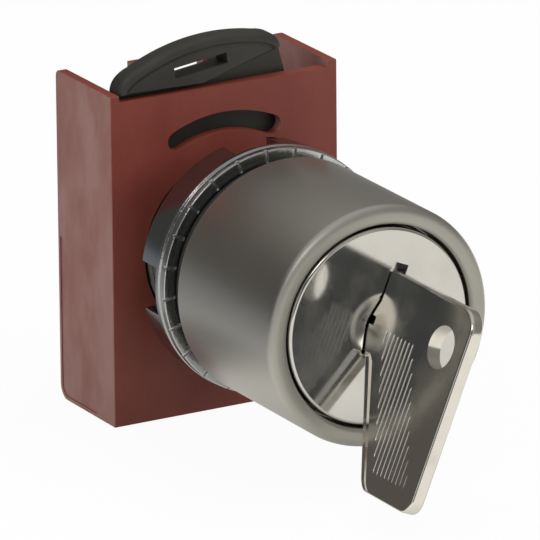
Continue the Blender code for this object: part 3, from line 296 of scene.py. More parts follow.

# %% [markdown]
# ## Moulded plastics and rubber
#
# The holder is a brick-red moulding. Its side walls are painted paler in faint cloudy patches, a painted
# sheen, and its skin has a fine spark-eroded texture that keeps the gloss low. The lever is the same kind of
# moulding in black, and a little glossier, and the guide behind is an ivory one. One function makes all
# three, with the colours handed in. The rubber of the seals is duller still, and nearly black.

# %% Moulded plastics
def moulded(name, dark, light, gloss, texture, side_sheen=None):
    """A moulding in two close tones, whose outer side walls may be painted paler, as a painted sheen."""
    finish = Finish(name)
    place = finish.place()
    flow = finish.noise(finish.stretch(place, (1.0, 1.0, 0.45)), 0.16, 4.0, 0.6)
    skin = finish.noise(place, 5.0, 2.0)
    tone = finish.blend(flow.step(0.3, 0.7), dark, light)
    if side_sheen:
        # The side walls, found by their normals, are painted paler in cloudy patches: this paler tone is a
        # painted sheen.
        facing = finish.axis(finish.add("TexCoord", {}, out="Normal"), "X")
        sideways = finish.add("Math", {"operation": "ABSOLUTE"}, facing).step(0.4, 0.95)
        tone = finish.blend(sideways * (0.55 + 0.45 * flow.step(0.35, 0.65)), tone, side_sheen)
    return finish.paint(
        Base_Color=tone, Roughness=gloss + 0.10 * flow + 0.05 * skin,
        Normal=finish.height(skin + 0.5 * flow, texture, 0.4))


BRICK = moulded("holder_plastic", (0.175, 0.034, 0.023), (0.205, 0.046, 0.032), 0.50, 0.03,
                side_sheen=(0.30, 0.165, 0.145))
BLACK = moulded("lever_plastic", (0.020, 0.0195, 0.0155), (0.028, 0.027, 0.022), 0.40, 0.02)
IVORY = moulded("cam_plastic", (0.52, 0.50, 0.43), (0.60, 0.58, 0.51), 0.42, 0.02)

# %% Seal rubber
def seal_rubber():
    finish = Finish("seal_rubber")
    skin = finish.noise(finish.place(), 3.0, 4.0)
    return finish.paint(
        Base_Color=finish.blend(skin, (0.012, 0.012, 0.012), (0.028, 0.027, 0.026)),
        Roughness=0.68 + 0.18 * skin, Normal=finish.height(skin, 0.04, 0.5))


RUBBER = seal_rubber()

# %% [markdown]
# ## Machined metals
#
# The lock, its wafers and its springs can be seen from behind and when the key is out. They are left as
# they came off the machine, so they share one function. The threaded neck shares it too, and its dark tone
# is painted shade, since it is only seen in the shadow behind the nut. The function's noise is squeezed
# along the axis, which leaves fine rings like tool marks.

# %% Machined metals
def machined(name, dark, light, roughness):
    """Turned or cut metal: fine rings of tool marks along the axis."""
    finish = Finish(name)
    place = finish.place()
    marks = finish.noise(finish.stretch(place, (0.4, 7.0, 0.4)), 1.0, 3.0)
    stain = finish.noise(place, 0.3, 3.0)
    return finish.paint(
        Base_Color=finish.blend(stain, dark, light), Metallic=1.0,
        Roughness=roughness + 0.12 * marks, Normal=finish.height(marks, 0.02, 0.4))


# The neck is one casting with the satin barrel; its dark tone here is painted shade.
SHADED_NECK = machined("neck_shaded_casting", (0.13, 0.13, 0.125), (0.18, 0.18, 0.17), 0.42)
BRASS = machined("lock_brass", (0.50, 0.37, 0.15), (0.60, 0.46, 0.21), 0.28)
CAST = machined("lock_zinc", (0.36, 0.36, 0.35), (0.44, 0.44, 0.43), 0.40)
STEEL = machined("spring_steel", (0.34, 0.34, 0.34), (0.42, 0.42, 0.41), 0.24)

# %% [markdown]
# ## Turned pieces
#
# Most of this switch is round. A turned piece is one half of its section, spun about the Y axis. Each
# corner of the section is given with its own fillet, and the helper turns the fillet into a short arc,
# so that edges catch a thin line of light. A Bevel modifier could round them afterwards, but it can't give
# every edge its own size.

# %% Sections with filleted corners
FILLET_STEPS = 4
FILLET_SHARE = 0.45  # the most of an edge that one fillet may take


def filleted(corners):
    """Points of a section from (radius, y, fillet) corners in millimetres."""
    points = []
    for i, (radius, y, fillet) in enumerate(corners):
        here = Vector((radius, y))
        if not fillet:
            points.append(here)
            continue
        before = Vector(corners[i - 1][:2]) - here
        after = Vector(corners[(i + 1) % len(corners)][:2]) - here
        fillet = min(fillet, FILLET_SHARE * before.length, FILLET_SHARE * after.length)
        before.normalize()
        after.normalize()
        half = before.angle(after) / 2
        reach = fillet / math.tan(half)
        centre = here + (before + after).normalized() * fillet / math.sin(half)
        first = here + before * reach - centre
        last = here + after * reach - centre
        for k in range(FILLET_STEPS + 1):
            share = k / FILLET_STEPS
            spoke = (first * (1 - share) + last * share).normalized()
            points.append(centre + spoke * fillet)
    return points


square = [(1, 0, 0.2), (2, 0, 0.2), (2, 1, 0.2), (1, 1, 0.2)]
print("a square section with fillets has", len(filleted(square)), "points")

# %% From points to a shaded piece
WELD = 1e-6


def as_object(work, name):
    """Put a bmesh into the scene as an object."""
    mesh = bpy.data.meshes.new(name)
    work.to_mesh(mesh)
    work.free()
    made = bpy.data.objects.new(name, mesh)
    bpy.context.scene.collection.objects.link(made)
    return made


def smooth(obj, sharp):
    """Shade smoothly, with hard edges where two faces meet at a sharper angle in degrees."""
    obj.data.shade_smooth()
    obj.data.set_sharp_from_angle(angle=math.radians(sharp))
    return obj


def shaded(work, name, material, sharp=40):
    """Clean a bmesh and turn it into a smooth object of one material."""
    bmesh.ops.remove_doubles(work, verts=work.verts, dist=WELD)
    bmesh.ops.recalc_face_normals(work, faces=work.faces)
    made = smooth(as_object(work, name), sharp)
    made.data.materials.append(material)
    return made


def turned(name, corners, material, segments=192, closed=True):
    """A piece spun about Y from the corners of its section."""
    work = bmesh.new()
    points = [work.verts.new((p.x * MM, p.y * MM, 0)) for p in filleted(corners)]
    pairs = list(zip(points, points[1:]))
    if closed:
        pairs.append((points[-1], points[0]))
    edges = [work.edges.new(pair) for pair in pairs]
    bmesh.ops.spin(work, geom=points + edges, cent=(0, 0, 0), axis=(0, 1, 0), dvec=(0, 0, 0),
                   angle=math.tau, steps=segments, use_merge=False, use_duplicate=False)
    return shaded(work, name, material)


def mount(obj, body, slot, *cad_nodes):
    """Let a piece ride on its body and stand for CAD nodes, which are hidden; the slot is not used."""
    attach(obj, body)
    if cad_nodes:
        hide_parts(*cad_nodes)
    print(f"{obj.name}: {len(obj.data.polygons)} faces, rides on {body}")
    return obj


# %% [markdown]
# ## Barrel and neck
#
# The barrel and the neck behind it are one casting. The barrel is a plain turned piece with a rounded
# bezel. The neck carries a fine thread for the ring nut. A real thread is a helix, so the neck's outer
# skin is a grid over angle and length, and one function says how far each point lies from the axis: it
# lowers a triangular groove whose phase moves on with the angle, and it sinks the lever's groove and the
# three ways into it.

# %% Barrel
barrel = turned("barrel_casting", [
    (14.75, -24.50, 1.30), (14.75, -2.20, 0.30), (10.60, -2.20, 0), (10.60, -19.6, 0),
    (11.20, -19.6, 0), (11.20, -20.60, 0), (12.39, -20.60, 0), (12.39, -24.50, 0.60),
], SATIN)
mount(barrel, "operator", "satin_chrome", "operator_body")

# %% Distance of the neck's skin from the axis
THREAD_PITCH = 1.5
THREAD_DEPTH = 0.5
THREAD_STEEPNESS = 1.25  # above 1, the thread's roots are flat
THREAD_RUNS = (((-0.3, 0.6), (13.0, 13.6)), ((16.5, 17.0), (20.2, 20.6)))
NECK_RADIUS = 10.85
LEVER_GROOVE = (13.8, 16.1)
SUNK_RADIUS = NECK_RADIUS - 0.75
ENTRIES = 3
ENTRY_TURN = math.radians(67.4)
ENTRY_HALF = math.radians(10)
LEAD_IN = 20.6  # from here to its end, the neck tapers


def fade(value, low, high):
    share = min(max((value - low) / (high - low), 0), 1)
    return share * share * (3 - 2 * share)


def from_entry(clock):
    """Angle to the nearest of the ways into the lever's groove."""
    ways = [ENTRY_TURN + k * math.tau / ENTRIES for k in range(ENTRIES)]
    return min(abs((clock - way + math.pi) % math.tau - math.pi) for way in ways)


def neck_radius(clock, y):
    """Distance from the axis to the neck's skin, in millimetres."""
    start, end = LEVER_GROOVE
    if start < y < end or (y >= end and from_entry(clock) < ENTRY_HALF):
        return SUNK_RADIUS
    wave = abs(((y / THREAD_PITCH - clock / math.tau) % 1) - 0.5) * 2
    cut = sum(fade(y, *rise) * (1 - fade(y, *fall)) for rise, fall in THREAD_RUNS)
    groove = THREAD_DEPTH * min(wave * THREAD_STEEPNESS, 1)
    return NECK_RADIUS - groove * cut - max(0, y - LEAD_IN)


print("radius in the lever's groove:", round(neck_radius(0, sum(LEVER_GROOVE) / 2), 2), "mm")

# %% Threaded neck
NECK_STEP = 0.17
NECK_ROWS = [-2.2 + NECK_STEP * i for i in range(95)]  # the front thread
NECK_ROWS += [13.79, 13.81, 15.0, 16.09, 16.11]  # the walls and the floor of the lever's groove
NECK_ROWS += [16.3 + NECK_STEP * i for i in range(26)] + [20.8, 21.0]  # the rear thread and its end
NECK_INSIDE = [(9.5, 21.0), (9.4, 20.9), (9.4, -2.0), (10.55, -2.2)]  # (radius, y) along the bore


def join_rings(work, rings, turned_over=False):
    """Faces between neighbouring rings, which all have the same number of points."""
    for low, high in zip(rings, rings[1:]):
        for i in range(len(low)):
            n = (i + 1) % len(low)
            if turned_over:
                work.faces.new((low[i], low[n], high[n], high[i]))
            else:
                work.faces.new((low[i], high[i], high[n], low[n]))


def make_neck(segments=180):
    work = bmesh.new()
    clocks = [math.tau * k / segments for k in range(segments)]
    sections = [[(neck_radius(clock, y), y) for clock in clocks] for y in NECK_ROWS]
    sections += [[point] * segments for point in NECK_INSIDE]
    join_rings(work, [
        [work.verts.new((radius * math.sin(clock) * MM, y * MM, radius * math.cos(clock) * MM))
         for clock, (radius, y) in zip(clocks, section)] for section in sections])
    return shaded(work, "neck_thread", SHADED_NECK, 50)


mount(make_neck(), "operator", "satin_chrome")

# %% [markdown]
# ## Gasket, seal and ring nut
#
# The gasket and the rotor seal are plain rubber rings with rounded lips. The nut is turned first, with
# the double rim that shows as two bright lines, and is then cut: four notches for a ring spanner behind,
# and a circle of fine serrations in front that bite into the panel. A small bevel after the cuts gives
# every notch the bright outline that a plated casting has.

# %% Gasket and seal
gasket = turned("gasket_ring", [
    (13.75, -2.05, 0.35), (13.75, 0.0, 0.35), (11.10, 0.0, 0.2), (11.10, -2.05, 0.2)], RUBBER, 144)
mount(gasket, "operator", "seal_rubber", "sealing_gasket")
seal = turned("seal_ring", [
    (12.20, -21.70, 0.4), (12.20, -20.75, 0.4), (10.30, -20.75, 0.4), (10.30, -21.70, 0.4)], RUBBER, 120)
mount(seal, "operator", "seal_rubber", "rotor_seal")

# %% Cutting and rounding
SHARP = 35


def block(low, high):
    """A plain block in millimetres, used to cut with."""
    work = bmesh.new()
    bmesh.ops.create_cube(work, size=1)
    size = [(b - a) * MM for a, b in zip(low, high)]
    middle = [(a + b) / 2 * MM for a, b in zip(low, high)]
    fit = Matrix.Translation(middle) @ Matrix.Diagonal((*size, 1))
    bmesh.ops.transform(work, matrix=fit, verts=work.verts)
    return as_object(work, "cutter")


def swung(obj, angle):
    """Turn a piece's mesh about the axis of the switch."""
    obj.data.transform(Matrix.Rotation(angle, 4, "Y"))
    return obj


def merged(objects):
    """One cutter from several pieces that don't touch."""
    work = bmesh.new()
    for obj in objects:
        work.from_mesh(obj.data)
        bpy.data.objects.remove(obj)
    return as_object(work, "cutter")


def settled(obj, sharp=SHARP):
    """Keep the shape that the modifiers make and shade it."""
    graph = bpy.context.evaluated_depsgraph_get()
    mesh = bpy.data.meshes.new_from_object(obj.evaluated_get(graph))
    obj.modifiers.clear()
    obj.data = mesh
    return smooth(obj, sharp)


def carve(obj, cutter, operation="DIFFERENCE", sharp=SHARP):
    """Cut another object's volume away, or add it, and remove the other object."""
    cut = obj.modifiers.new("Cut", "BOOLEAN")
    cut.operation = operation
    cut.object = cutter
    cut.solver = "EXACT"
    settled(obj, sharp)
    bpy.data.objects.remove(cutter)


def soften(obj, width, segments=2, angle=SHARP):
    """Round the sharp edges by a width in millimetres."""
    bevel = obj.modifiers.new("Edges", "BEVEL")
    bevel.width = width * MM
    bevel.segments = segments
    bevel.limit_method = "ANGLE"
    bevel.angle_limit = math.radians(angle)
    return settled(obj)


print("edges sharper than", SHARP, "degrees stay hard, or are rounded")

# %% Ring nut
NOTCHES = 4
NOTCH_TURN = math.radians(-3)
NOTCH = ((10.5, 2.70, -3.0), (16.5, 7.5, 3.0))
TICKS = 24
TICK_TURN = math.radians(-4)
TICK = ((13.75, -0.5, -0.17), (16.5, 0.55, 0.17))
NUT_EDGE = 0.10


def around(count, turn, low, high):
    """Blocks in a circle about the Y axis, as one cutter."""
    return merged([swung(block(low, high), turn + i * math.tau / count) for i in range(count)])


nut = turned("serrated_nut", [
    (15.18, 0.20, 0.16), (15.22, 1.10, 0.10), (14.98, 1.30, 0.08), (14.98, 1.48, 0.08), (15.26, 1.66, 0.10),
    (15.26, 2.20, 0.12), (15.00, 2.60, 0.10), (15.00, 6.20, 0.20), (11.10, 6.20, 0.25), (11.10, 0.20, 0.25),
], ZINC, 240)
carve(nut, around(NOTCHES, NOTCH_TURN, *NOTCH))
carve(nut, around(TICKS, TICK_TURN, *TICK))
soften(nut, NUT_EDGE)
mount(nut, "operator", "bright_zinc", "ring_nut")

# %% [markdown]
# ## Rotor disc
#
# The disc turns with the key. It is a mirror, so its dish has to be smooth: with few rings it would show
# bands. The keyway and the small square index notch are cut afterwards and get the slightest of edges.
# Disc and key are made upright, and then swung to the angle at which the key leans in the photograph.

# %% Rotor disc
KEY_LEAN = math.radians(22.5)
DISC_FACE = -24.2
DISC_BACK = -21.9
DISH_RADIUS = 4.3
DISH_DEPTH = 1.3
DISH_RINGS = 24
DISC_EDGE = 0.06
KEYWAY = ((-1.05, -25, -3.3), (1.05, -20, 3.3))
INDEX_NOTCH = ((-1.15, -25, 6.7), (1.15, -22.9, 7.9))


def flattened(obj):
    """Let large flat faces set the shading of the small rounded ones beside them."""
    weigh = obj.modifiers.new("Flat faces", "WEIGHTED_NORMAL")
    weigh.keep_sharp = True
    weigh.weight = 100
    return obj


dish = []
for i in range(DISH_RINGS + 1):
    share = i / DISH_RINGS
    dish.append((DISH_RADIUS * share, DISC_FACE + DISH_DEPTH * (1 + math.cos(math.pi * share)) / 2, 0))
disc = turned("mirror_disc", dish + [
    (12.06, DISC_FACE, 0.45), (12.06, DISC_BACK, 0.15), (0, DISC_BACK, 0)], POLISHED, closed=False)
for corners in (KEYWAY, INDEX_NOTCH):
    carve(disc, block(*corners))
soften(disc, DISC_EDGE, angle=50)
mount(swung(flattened(disc), KEY_LEAN), "rotor", "polished_steel", "rotor_disc")

# %% [markdown]
# ## Key
#
# The key is stamped from sheet: the bow hangs to one side like a flag, and the blade runs into the lock.
# Outlines are drawn in the key's own plane as (along, up) points. The bow is coined as well: its slanted
# side has a lowered band, with a soft slope up to the face, and its other edges are rounded by almost half
# a millimetre. One extruded outline with a Bevel would round every edge alike. So the bow is a stack of
# outlines. Each layer is the same outline drawn in a little more and set a little higher, and the points of
# the slanted side follow steps of their own.

# %% Outline of the bow
KEY_THICKNESS = 1.8
BOW_TOP = 7.0
BOW_FRONT = -43.75
BOW_BOTTOM = -17.85
BOW_REAR = -24.35
TOP_ROUND = 2.9
TOE_ROUND = 1.9
HEEL_STEPS = 9
HIDDEN_INSET = 0.05  # the rear edge is inside the blade, so it is hardly drawn in
BOTTOM_SHARE = 0.35  # the bottom is drawn in by this share of the inset
SMALLEST_HEEL = 0.3
BULGE = (-0.03, 0.08)  # of the soft corner between elbow and shoulder

# Corners of the slanted side, and how each one moves per millimetre that this side is drawn in
HEEL = ((-33.84, -15.45), (-0.95, 0.0))
ELBOW = ((-24.55, -4.1), (-1.3, 0.15))
SHOULDER = ((-24.35, -3.6), (-0.6, 0.45))
ROOT = ((-24.35, -2.9), (0.0, 0.3))


def corner_arc(centre, radius, start, end, steps):
    """Points of an arc between two angles in degrees."""
    turns = [math.radians(start + (end - start) * k / steps) for k in range(steps + 1)]
    return [(centre[0] + radius * math.cos(turn), centre[1] + radius * math.sin(turn)) for turn in turns]


def bow_outline(inset, rear):
    """The bow as (along, up) points, drawn in by an inset, and on its slanted rear side by another."""
    heel, elbow, shoulder, root = (
        tuple(at + move * rear for at, move in zip(*corner)) for corner in (HEEL, ELBOW, SHOULDER, ROOT))
    between = tuple((a + b) / 2 + bulge for a, b, bulge in zip(elbow, shoulder, BULGE))
    hidden = min(inset, HIDDEN_INSET)
    bottom = BOW_BOTTOM + BOTTOM_SHARE * inset
    top_centre = (BOW_FRONT + TOP_ROUND, BOW_TOP - TOP_ROUND)
    toe_centre = (BOW_FRONT + TOE_ROUND, bottom + TOE_ROUND - inset)
    radius = max(heel[1] - bottom, SMALLEST_HEEL)
    reach = (elbow[0] - heel[0], elbow[1] - heel[1])
    slant = math.degrees(math.atan2(reach[1], reach[0]) - math.acos(radius / math.hypot(*reach)))
    return [
        (BOW_REAR - hidden, BOW_TOP - inset),
        *corner_arc(top_centre, TOP_ROUND - inset, 90, 180, steps=14),
        *corner_arc(toe_centre, TOE_ROUND - inset, 180, 270, steps=12),
        *corner_arc(heel, radius, 270, 360 + slant, steps=HEEL_STEPS),
        elbow, between, shoulder, (root[0] - hidden, root[1])]


print("points in one outline of the bow:", len(bow_outline(0, 0)))

# %% Layers of the bow
BOW_EDGE = 0.42
BAND_EDGE = 0.28
BAND_DROP = 0.20
BAND_WIDTH = 0.55
SLOPE_WIDTH = 0.75
SLANTED_POINTS = HEEL_STEPS + 5  # the heel's arc and the four points after it
SLANT_TURN = 6  # points of the heel over which the plain side becomes the slanted one
ROUND_STEPS = 8
QUARTER = [math.pi / 2 * i / ROUND_STEPS for i in range(ROUND_STEPS + 1)]


def bow_layers():
    """Pairs of (height, inset) for the plain sides and for the slanted side, from the middle outwards."""
    half = KEY_THICKNESS / 2
    plain = [(0.0, 0.0)]
    slanted = [(0.0, 0.0)]
    for turn in QUARTER:
        rise, inset = math.sin(turn), 1 - math.cos(turn)
        plain.append((half - BOW_EDGE + BOW_EDGE * rise, BOW_EDGE * inset))
        slanted.append((half - BAND_DROP - BAND_EDGE + BAND_EDGE * rise, BAND_EDGE * inset))
    plain += [plain[-1]] * 2
    slanted += [(half - BAND_DROP, BAND_EDGE + BAND_WIDTH),
                (half, BAND_EDGE + BAND_WIDTH + SLOPE_WIDTH)]
    return list(zip(plain, slanted))


def slanted_share(i, count):
    """How far a point of the outline belongs to the slanted side, from 0 to 1."""
    if i == count - 1:
        return 0
    share = min(max((i - count + SLANTED_POINTS) / SLANT_TURN, 0), 1)
    return share / 2 if i == count - 2 else share


print("layers on each side of the bow:", len(bow_layers()))

# %% Bow
KEY_SHARP = 13


def make_bow():
    work = bmesh.new()
    layers = bow_layers()
    stack = [(-1, pair) for pair in reversed(layers)] + [(1, pair) for pair in layers[1:]]
    rings = []
    for side, ((height, inset), (low_height, low_inset)) in stack:
        outline = bow_outline(inset, low_inset)
        shares = [slanted_share(i, len(outline)) for i in range(len(outline))]
        heights = [side * (height * (1 - share) + low_height * share) for share in shares]
        rings.append([work.verts.new((x * MM, y * MM, z * MM)) for x, (y, z) in zip(heights, outline)])
    join_rings(work, rings, turned_over=True)
    work.faces.new(list(reversed(rings[0])))
    work.faces.new(rings[-1])
    bmesh.ops.remove_doubles(work, verts=work.verts, dist=2 * WELD)
    bmesh.ops.dissolve_degenerate(work, edges=work.edges, dist=2 * WELD)
    return shaded(work, "key_blank", NICKEL, KEY_SHARP)


key = make_bow()
print("bow:", len(key.data.polygons), "faces")

# %% [markdown]
# The field of finger grooves leans with the slanted side of the bow, but each groove runs straight up.
# So a groove's ends are found from its place: it starts where it meets one leaning side of the field
# and stops where it meets the other, or at the field's level top or bottom. The grooves nearer the
# fingers are more worn. All of them are cut before the blade joins the bow.

# %% Finger grooves
GROOVE_PITCH = 0.8475
GROOVE_FIRST = -26.69
GROOVE_COUNT = 18
GROOVE_WIDTH = 0.50
GROOVE_DEPTH = 0.085
GROOVE_SKEW = 0.14
GROOVE_WEAR = 0.55
GROOVE_TAPER = 0.35
FIELD_TOP = 0.3
FIELD_BOTTOM = -15.4
FIELD_REAR = (-26.8, 0.487)
FIELD_FRONT = (-33.66, 0.55)


def spindle(x, y, low, high, size):
    """A long bar with a skewed diamond section and pointed ends, which cuts a groove with one steep wall."""
    work = bmesh.new()
    depth, skew, half = size * GROOVE_DEPTH, size * GROOVE_SKEW, size * GROOVE_WIDTH / 2
    corners = ((x + depth, y + skew), (x, y + half), (x - depth, y + skew), (x, y - half))
    rings = [[work.verts.new((a * MM, b * MM, z * MM)) for a, b in corners]
             for z in (low + GROOVE_TAPER, high - GROOVE_TAPER)]
    ends = [work.verts.new((x * MM, y * MM, z * MM)) for z in (low, high)]
    for i in range(4):
        n = (i + 1) % 4
        work.faces.new((rings[0][i], rings[0][n], rings[1][n], rings[1][i]))
        work.faces.new((rings[0][n], rings[0][i], ends[0]))
        work.faces.new((rings[1][i], rings[1][n], ends[1]))
    return shaded(work, "cutter", NICKEL)


def groove_cutters():
    bars = []
    for k in range(GROOVE_COUNT):
        y = GROOVE_FIRST - GROOVE_PITCH * k
        low = max(FIELD_BOTTOM, (y - FIELD_REAR[0]) / FIELD_REAR[1])
        high = min(FIELD_TOP, (y - FIELD_FRONT[0]) / FIELD_FRONT[1])
        if high - low < 2 * GROOVE_TAPER:
            continue
        size = 1 - GROOVE_WEAR * k / GROOVE_COUNT
        bars += [spindle(side * KEY_THICKNESS / 2, y, low, high, size) for side in (-1, 1)]
    print("finger grooves on each face:", len(bars) // 2)
    return merged(bars)


# %% Ring hole and grooves
RING_HOLE = (-38.95, 1.5)
RING_RADIUS = 2.6


def ring_hole():
    """A drill across the bow."""
    work = bmesh.new()
    along, up = RING_HOLE
    across = Matrix.Translation((0, along * MM, up * MM)) @ Matrix.Rotation(math.pi / 2, 4, "Y")
    bmesh.ops.create_cone(work, cap_ends=True, segments=56, radius1=RING_RADIUS * MM,
                          radius2=RING_RADIUS * MM, depth=10 * MM, matrix=across)
    return shaded(work, "ring_hole", NICKEL)


for cutter in (ring_hole(), groove_cutters()):
    carve(key, cutter, sharp=KEY_SHARP)
print("bow with its hole and grooves:", len(key.data.polygons), "faces")

# %% [markdown]
# The blade is a plain extruded outline with the cuts that lift the wafers. It is rounded first, and the
# groove milled along each side comes after that, so that its edges stay crisp.

# %% Blade
BLADE_THICKNESS = KEY_THICKNESS - 0.1
BLADE_EDGE = 0.15
BLADE_HALF = 3.1
BLADE_ROOT = -26.0
TIP_SLOPE = (-4.65, -2.85)
TIP_HALF = 0.9
CUT_PLACES = (-7, -10, -13, -16, -19)
CUT_DEPTHS = (1.3, 1.1, 1.5, 1.0, 1.2)
CUT_FLOOR = 0.45
CUT_SLOPE = 0.8
MILLED = (((-2, -27.0, 0.0), (-0.5, 0, 1.1)), ((0.5, -27.0, -1.1), (2, 0, 0.0)))


def blade_outline():
    start, end = TIP_SLOPE
    points = [(BLADE_ROOT, -BLADE_HALF), (start, -BLADE_HALF), (end, -TIP_HALF), (end, TIP_HALF),
              (start, BLADE_HALF)]
    for y, depth in zip(CUT_PLACES, CUT_DEPTHS):
        wide = CUT_FLOOR + CUT_SLOPE * depth
        floor = BLADE_HALF - depth
        points += [(y + wide, BLADE_HALF), (y + CUT_FLOOR, floor), (y - CUT_FLOOR, floor),
                   (y - wide, BLADE_HALF)]
    return points + [(BLADE_ROOT, BLADE_HALF)]


def make_blade():
    work = bmesh.new()
    low = -BLADE_THICKNESS / 2 * MM
    face = work.faces.new([work.verts.new((low, y * MM, z * MM)) for y, z in blade_outline()])
    pulled = bmesh.ops.extrude_face_region(work, geom=[face])["geom"]
    bmesh.ops.translate(work, vec=(BLADE_THICKNESS * MM, 0, 0),
                        verts=[v for v in pulled if isinstance(v, bmesh.types.BMVert)])
    blade = soften(shaded(work, "blade", NICKEL), BLADE_EDGE)
    for corners in MILLED:
        carve(blade, block(*corners))
    return blade


def coat(obj, material):
    """Give a piece one material and no other."""
    obj.data.materials.clear()
    obj.data.materials.append(material)


carve(key, make_blade(), "UNION", KEY_SHARP)
coat(key, NICKEL)
mount(flattened(swung(key, KEY_LEAN)), "key", "key_nickel", "key")

# %% [markdown]
# ## Holder, lever and the pieces behind
#
# These are moulded, and their solids already have every wall, slot and hook. What they lack is the small
# radius that a mould leaves on each edge. A copy of the solid gets that from a Bevel: its triangles are
# first dissolved back into whole faces, because a bevel would follow every leftover diagonal.

# %% Moulded pieces with soft edges
FLAT = math.radians(0.6)


def plain_copy(node, name, material):
    work = bmesh.new()
    work.from_mesh(nodes[node].data)
    bmesh.ops.remove_doubles(work, verts=work.verts, dist=2 * WELD)
    bmesh.ops.dissolve_limit(work, angle_limit=FLAT, verts=work.verts, edges=work.edges)
    return shaded(work, name, material)


def soft_mount(piece, material, body, slot, node, width, **bevel):
    coat(flattened(soften(piece, width, **bevel)), material)
    mount(piece, body, slot, node)


def soft_copy(node, name, material, body, slot, width, **bevel):
    soft_mount(plain_copy(node, name, material), material, body, slot, node, width, **bevel)


soft_copy("mounting_holder", "moulded_holder", BRICK, "operator", "holder_plastic", 0.24,
          segments=3, angle=30)
soft_copy("rear_guide", "moulded_guide", IVORY, "operator", "cam_plastic", 0.12)
for side in ("left", "right"):
    rod = f"plunger_{side}"
    soft_copy(rod, f"push_rod_{side}", IVORY, rod, "cam_plastic", 0.08)

# %% [markdown]
# The thumb piece of the lever has a broad round along its top, so its plain block is cut off the copy and
# a stack of outlines takes its place, with a fine crease inside the round. A pocket behind the left part of
# the tool slot thins the wall enough to see through the slot.

# %% Thumb piece of the lever
THUMB_RADIUS = 26.1
THUMB_HALF_ARC = 19
THUMB_SIDE = ((11.32, 22.27), (11.0, 24.15))
THUMB_BOTTOM = (0, 20.8)
SIDE_STEPS = 8
THUMB_SPAN = (12.6, 15.5)
THUMB_ROUNDS = (0.95, 0.5)
THUMB_CREASE = ((0.0, 1.62), (0.14, 1.46), (0.18, 1.34), (0.14, 1.22), (0.04, 1.10))


def thumb_outline(inset):
    """An arc above a shallow V, as (x, z) points, with the arc and the sides drawn in by an inset."""
    top = corner_arc((0, 0), THUMB_RADIUS - inset, 90 - THUMB_HALF_ARC, 90 + THUMB_HALF_ARC, steps=28)
    (foot_x, foot_z), (corner_x, corner_z) = THUMB_SIDE
    curve = ((foot_x - inset, foot_z), (corner_x - inset, corner_z - inset), top[0])
    right = []
    for i in range(SIDE_STEPS):
        share = i / SIDE_STEPS
        weights = ((1 - share) ** 2, 2 * share * (1 - share), share ** 2)
        right.append(tuple(sum(w * point[k] for w, point in zip(weights, curve)) for k in (0, 1)))
    return [THUMB_BOTTOM, *right, *top, *((-x, z) for x, z in reversed(right))]


def make_thumb():
    work = bmesh.new()
    (front, rear), (near, far) = THUMB_SPAN, THUMB_ROUNDS
    layers = [(front + sunk, inset) for sunk, inset in THUMB_CREASE]
    layers += [(front + near * (1 - math.cos(turn)), near * (1 - math.sin(turn))) for turn in QUARTER]
    layers += [(rear - far * (1 - math.sin(turn)), far * (1 - math.cos(turn))) for turn in QUARTER]
    rings = [[work.verts.new((x * MM, y * MM, z * MM)) for x, z in thumb_outline(inset)]
             for y, inset in layers]
    join_rings(work, rings)
    work.faces.new(rings[0])
    work.faces.new(list(reversed(rings[-1])))
    return shaded(work, "thumb", BLACK)


print("points in one outline of the thumb piece:", len(thumb_outline(0)))

# %% Lever
THUMB_TURN = math.radians(-7.4)
PLAIN_THUMB = (((-16, 12.0, 20.3), (16, 14.0, 28)), ((-16, 13.9, 22.3), (16, 16.5, 28)))
TOOL_SLOT = ((-3.6, 12.0, 22.33), (3.6, 16.5, 23.68))
SLOT_POCKET = ((-4.3, 15.3, 21.9), (2.6, 16.5, 23.9))

lever = plain_copy("lock_lever", "moulded_lever", BLACK)
for corners in PLAIN_THUMB:
    carve(lever, swung(block(*corners), THUMB_TURN))
carve(lever, swung(make_thumb(), THUMB_TURN), "UNION")
for corners in (TOOL_SLOT, SLOT_POCKET):
    carve(lever, swung(block(*corners), THUMB_TURN))
soft_mount(lever, BLACK, "lock_lever", "lever_plastic", "lock_lever", 0.12, angle=50)

# %% Finish of the solids that stay
KEPT = {
    "lock_housing": CAST, "clamp_ring": STEEL, "guide_circlip": STEEL, "plug_clip": STEEL,
    "plunger_spring_left": STEEL, "plunger_spring_right": STEEL, "lock_plug": BRASS, "driver_cam": BLACK,
    **{f"wafer_{i}": BRASS for i in range(1, 6)},
}
for name, material in KEPT.items():
    coat(nodes[name], material)
print("kept solids:", len(KEPT))

# %% [markdown]
# ## Floor and room
#
# The photograph was taken on a white sweep in a dark room. The camera sees the sweep as pure white. In the
# metal it is brightest close to the switch, where the lamps point, and fades away from there, and above it
# stands the dark room. Without that fade and that dark the satin barrel would have no shape. A glow that
# depends on the place on the floor does this, because a place stays put in every view.

# %% Floor
FLOOR_LEVEL = -0.0209
DARK_SIDE = (-0.6, 0.8, 0.0)
FADES = (((-40.0, 100.0), (0.30, 0.305, 0.31)), ((100.0, 600.0), (0.10, 0.105, 0.11)))
SHADOWS = (
    ((-26.0, 22.0, 0.0), (4.0, 24.0), 0.75, (0.05, 0.05, 0.05)),
    ((8.0, -22.0, 0.0), (6.0, 38.0), 0.60, (0.16, 0.16, 0.155)),
)
WHITE = (1.0, 1.0, 1.0)

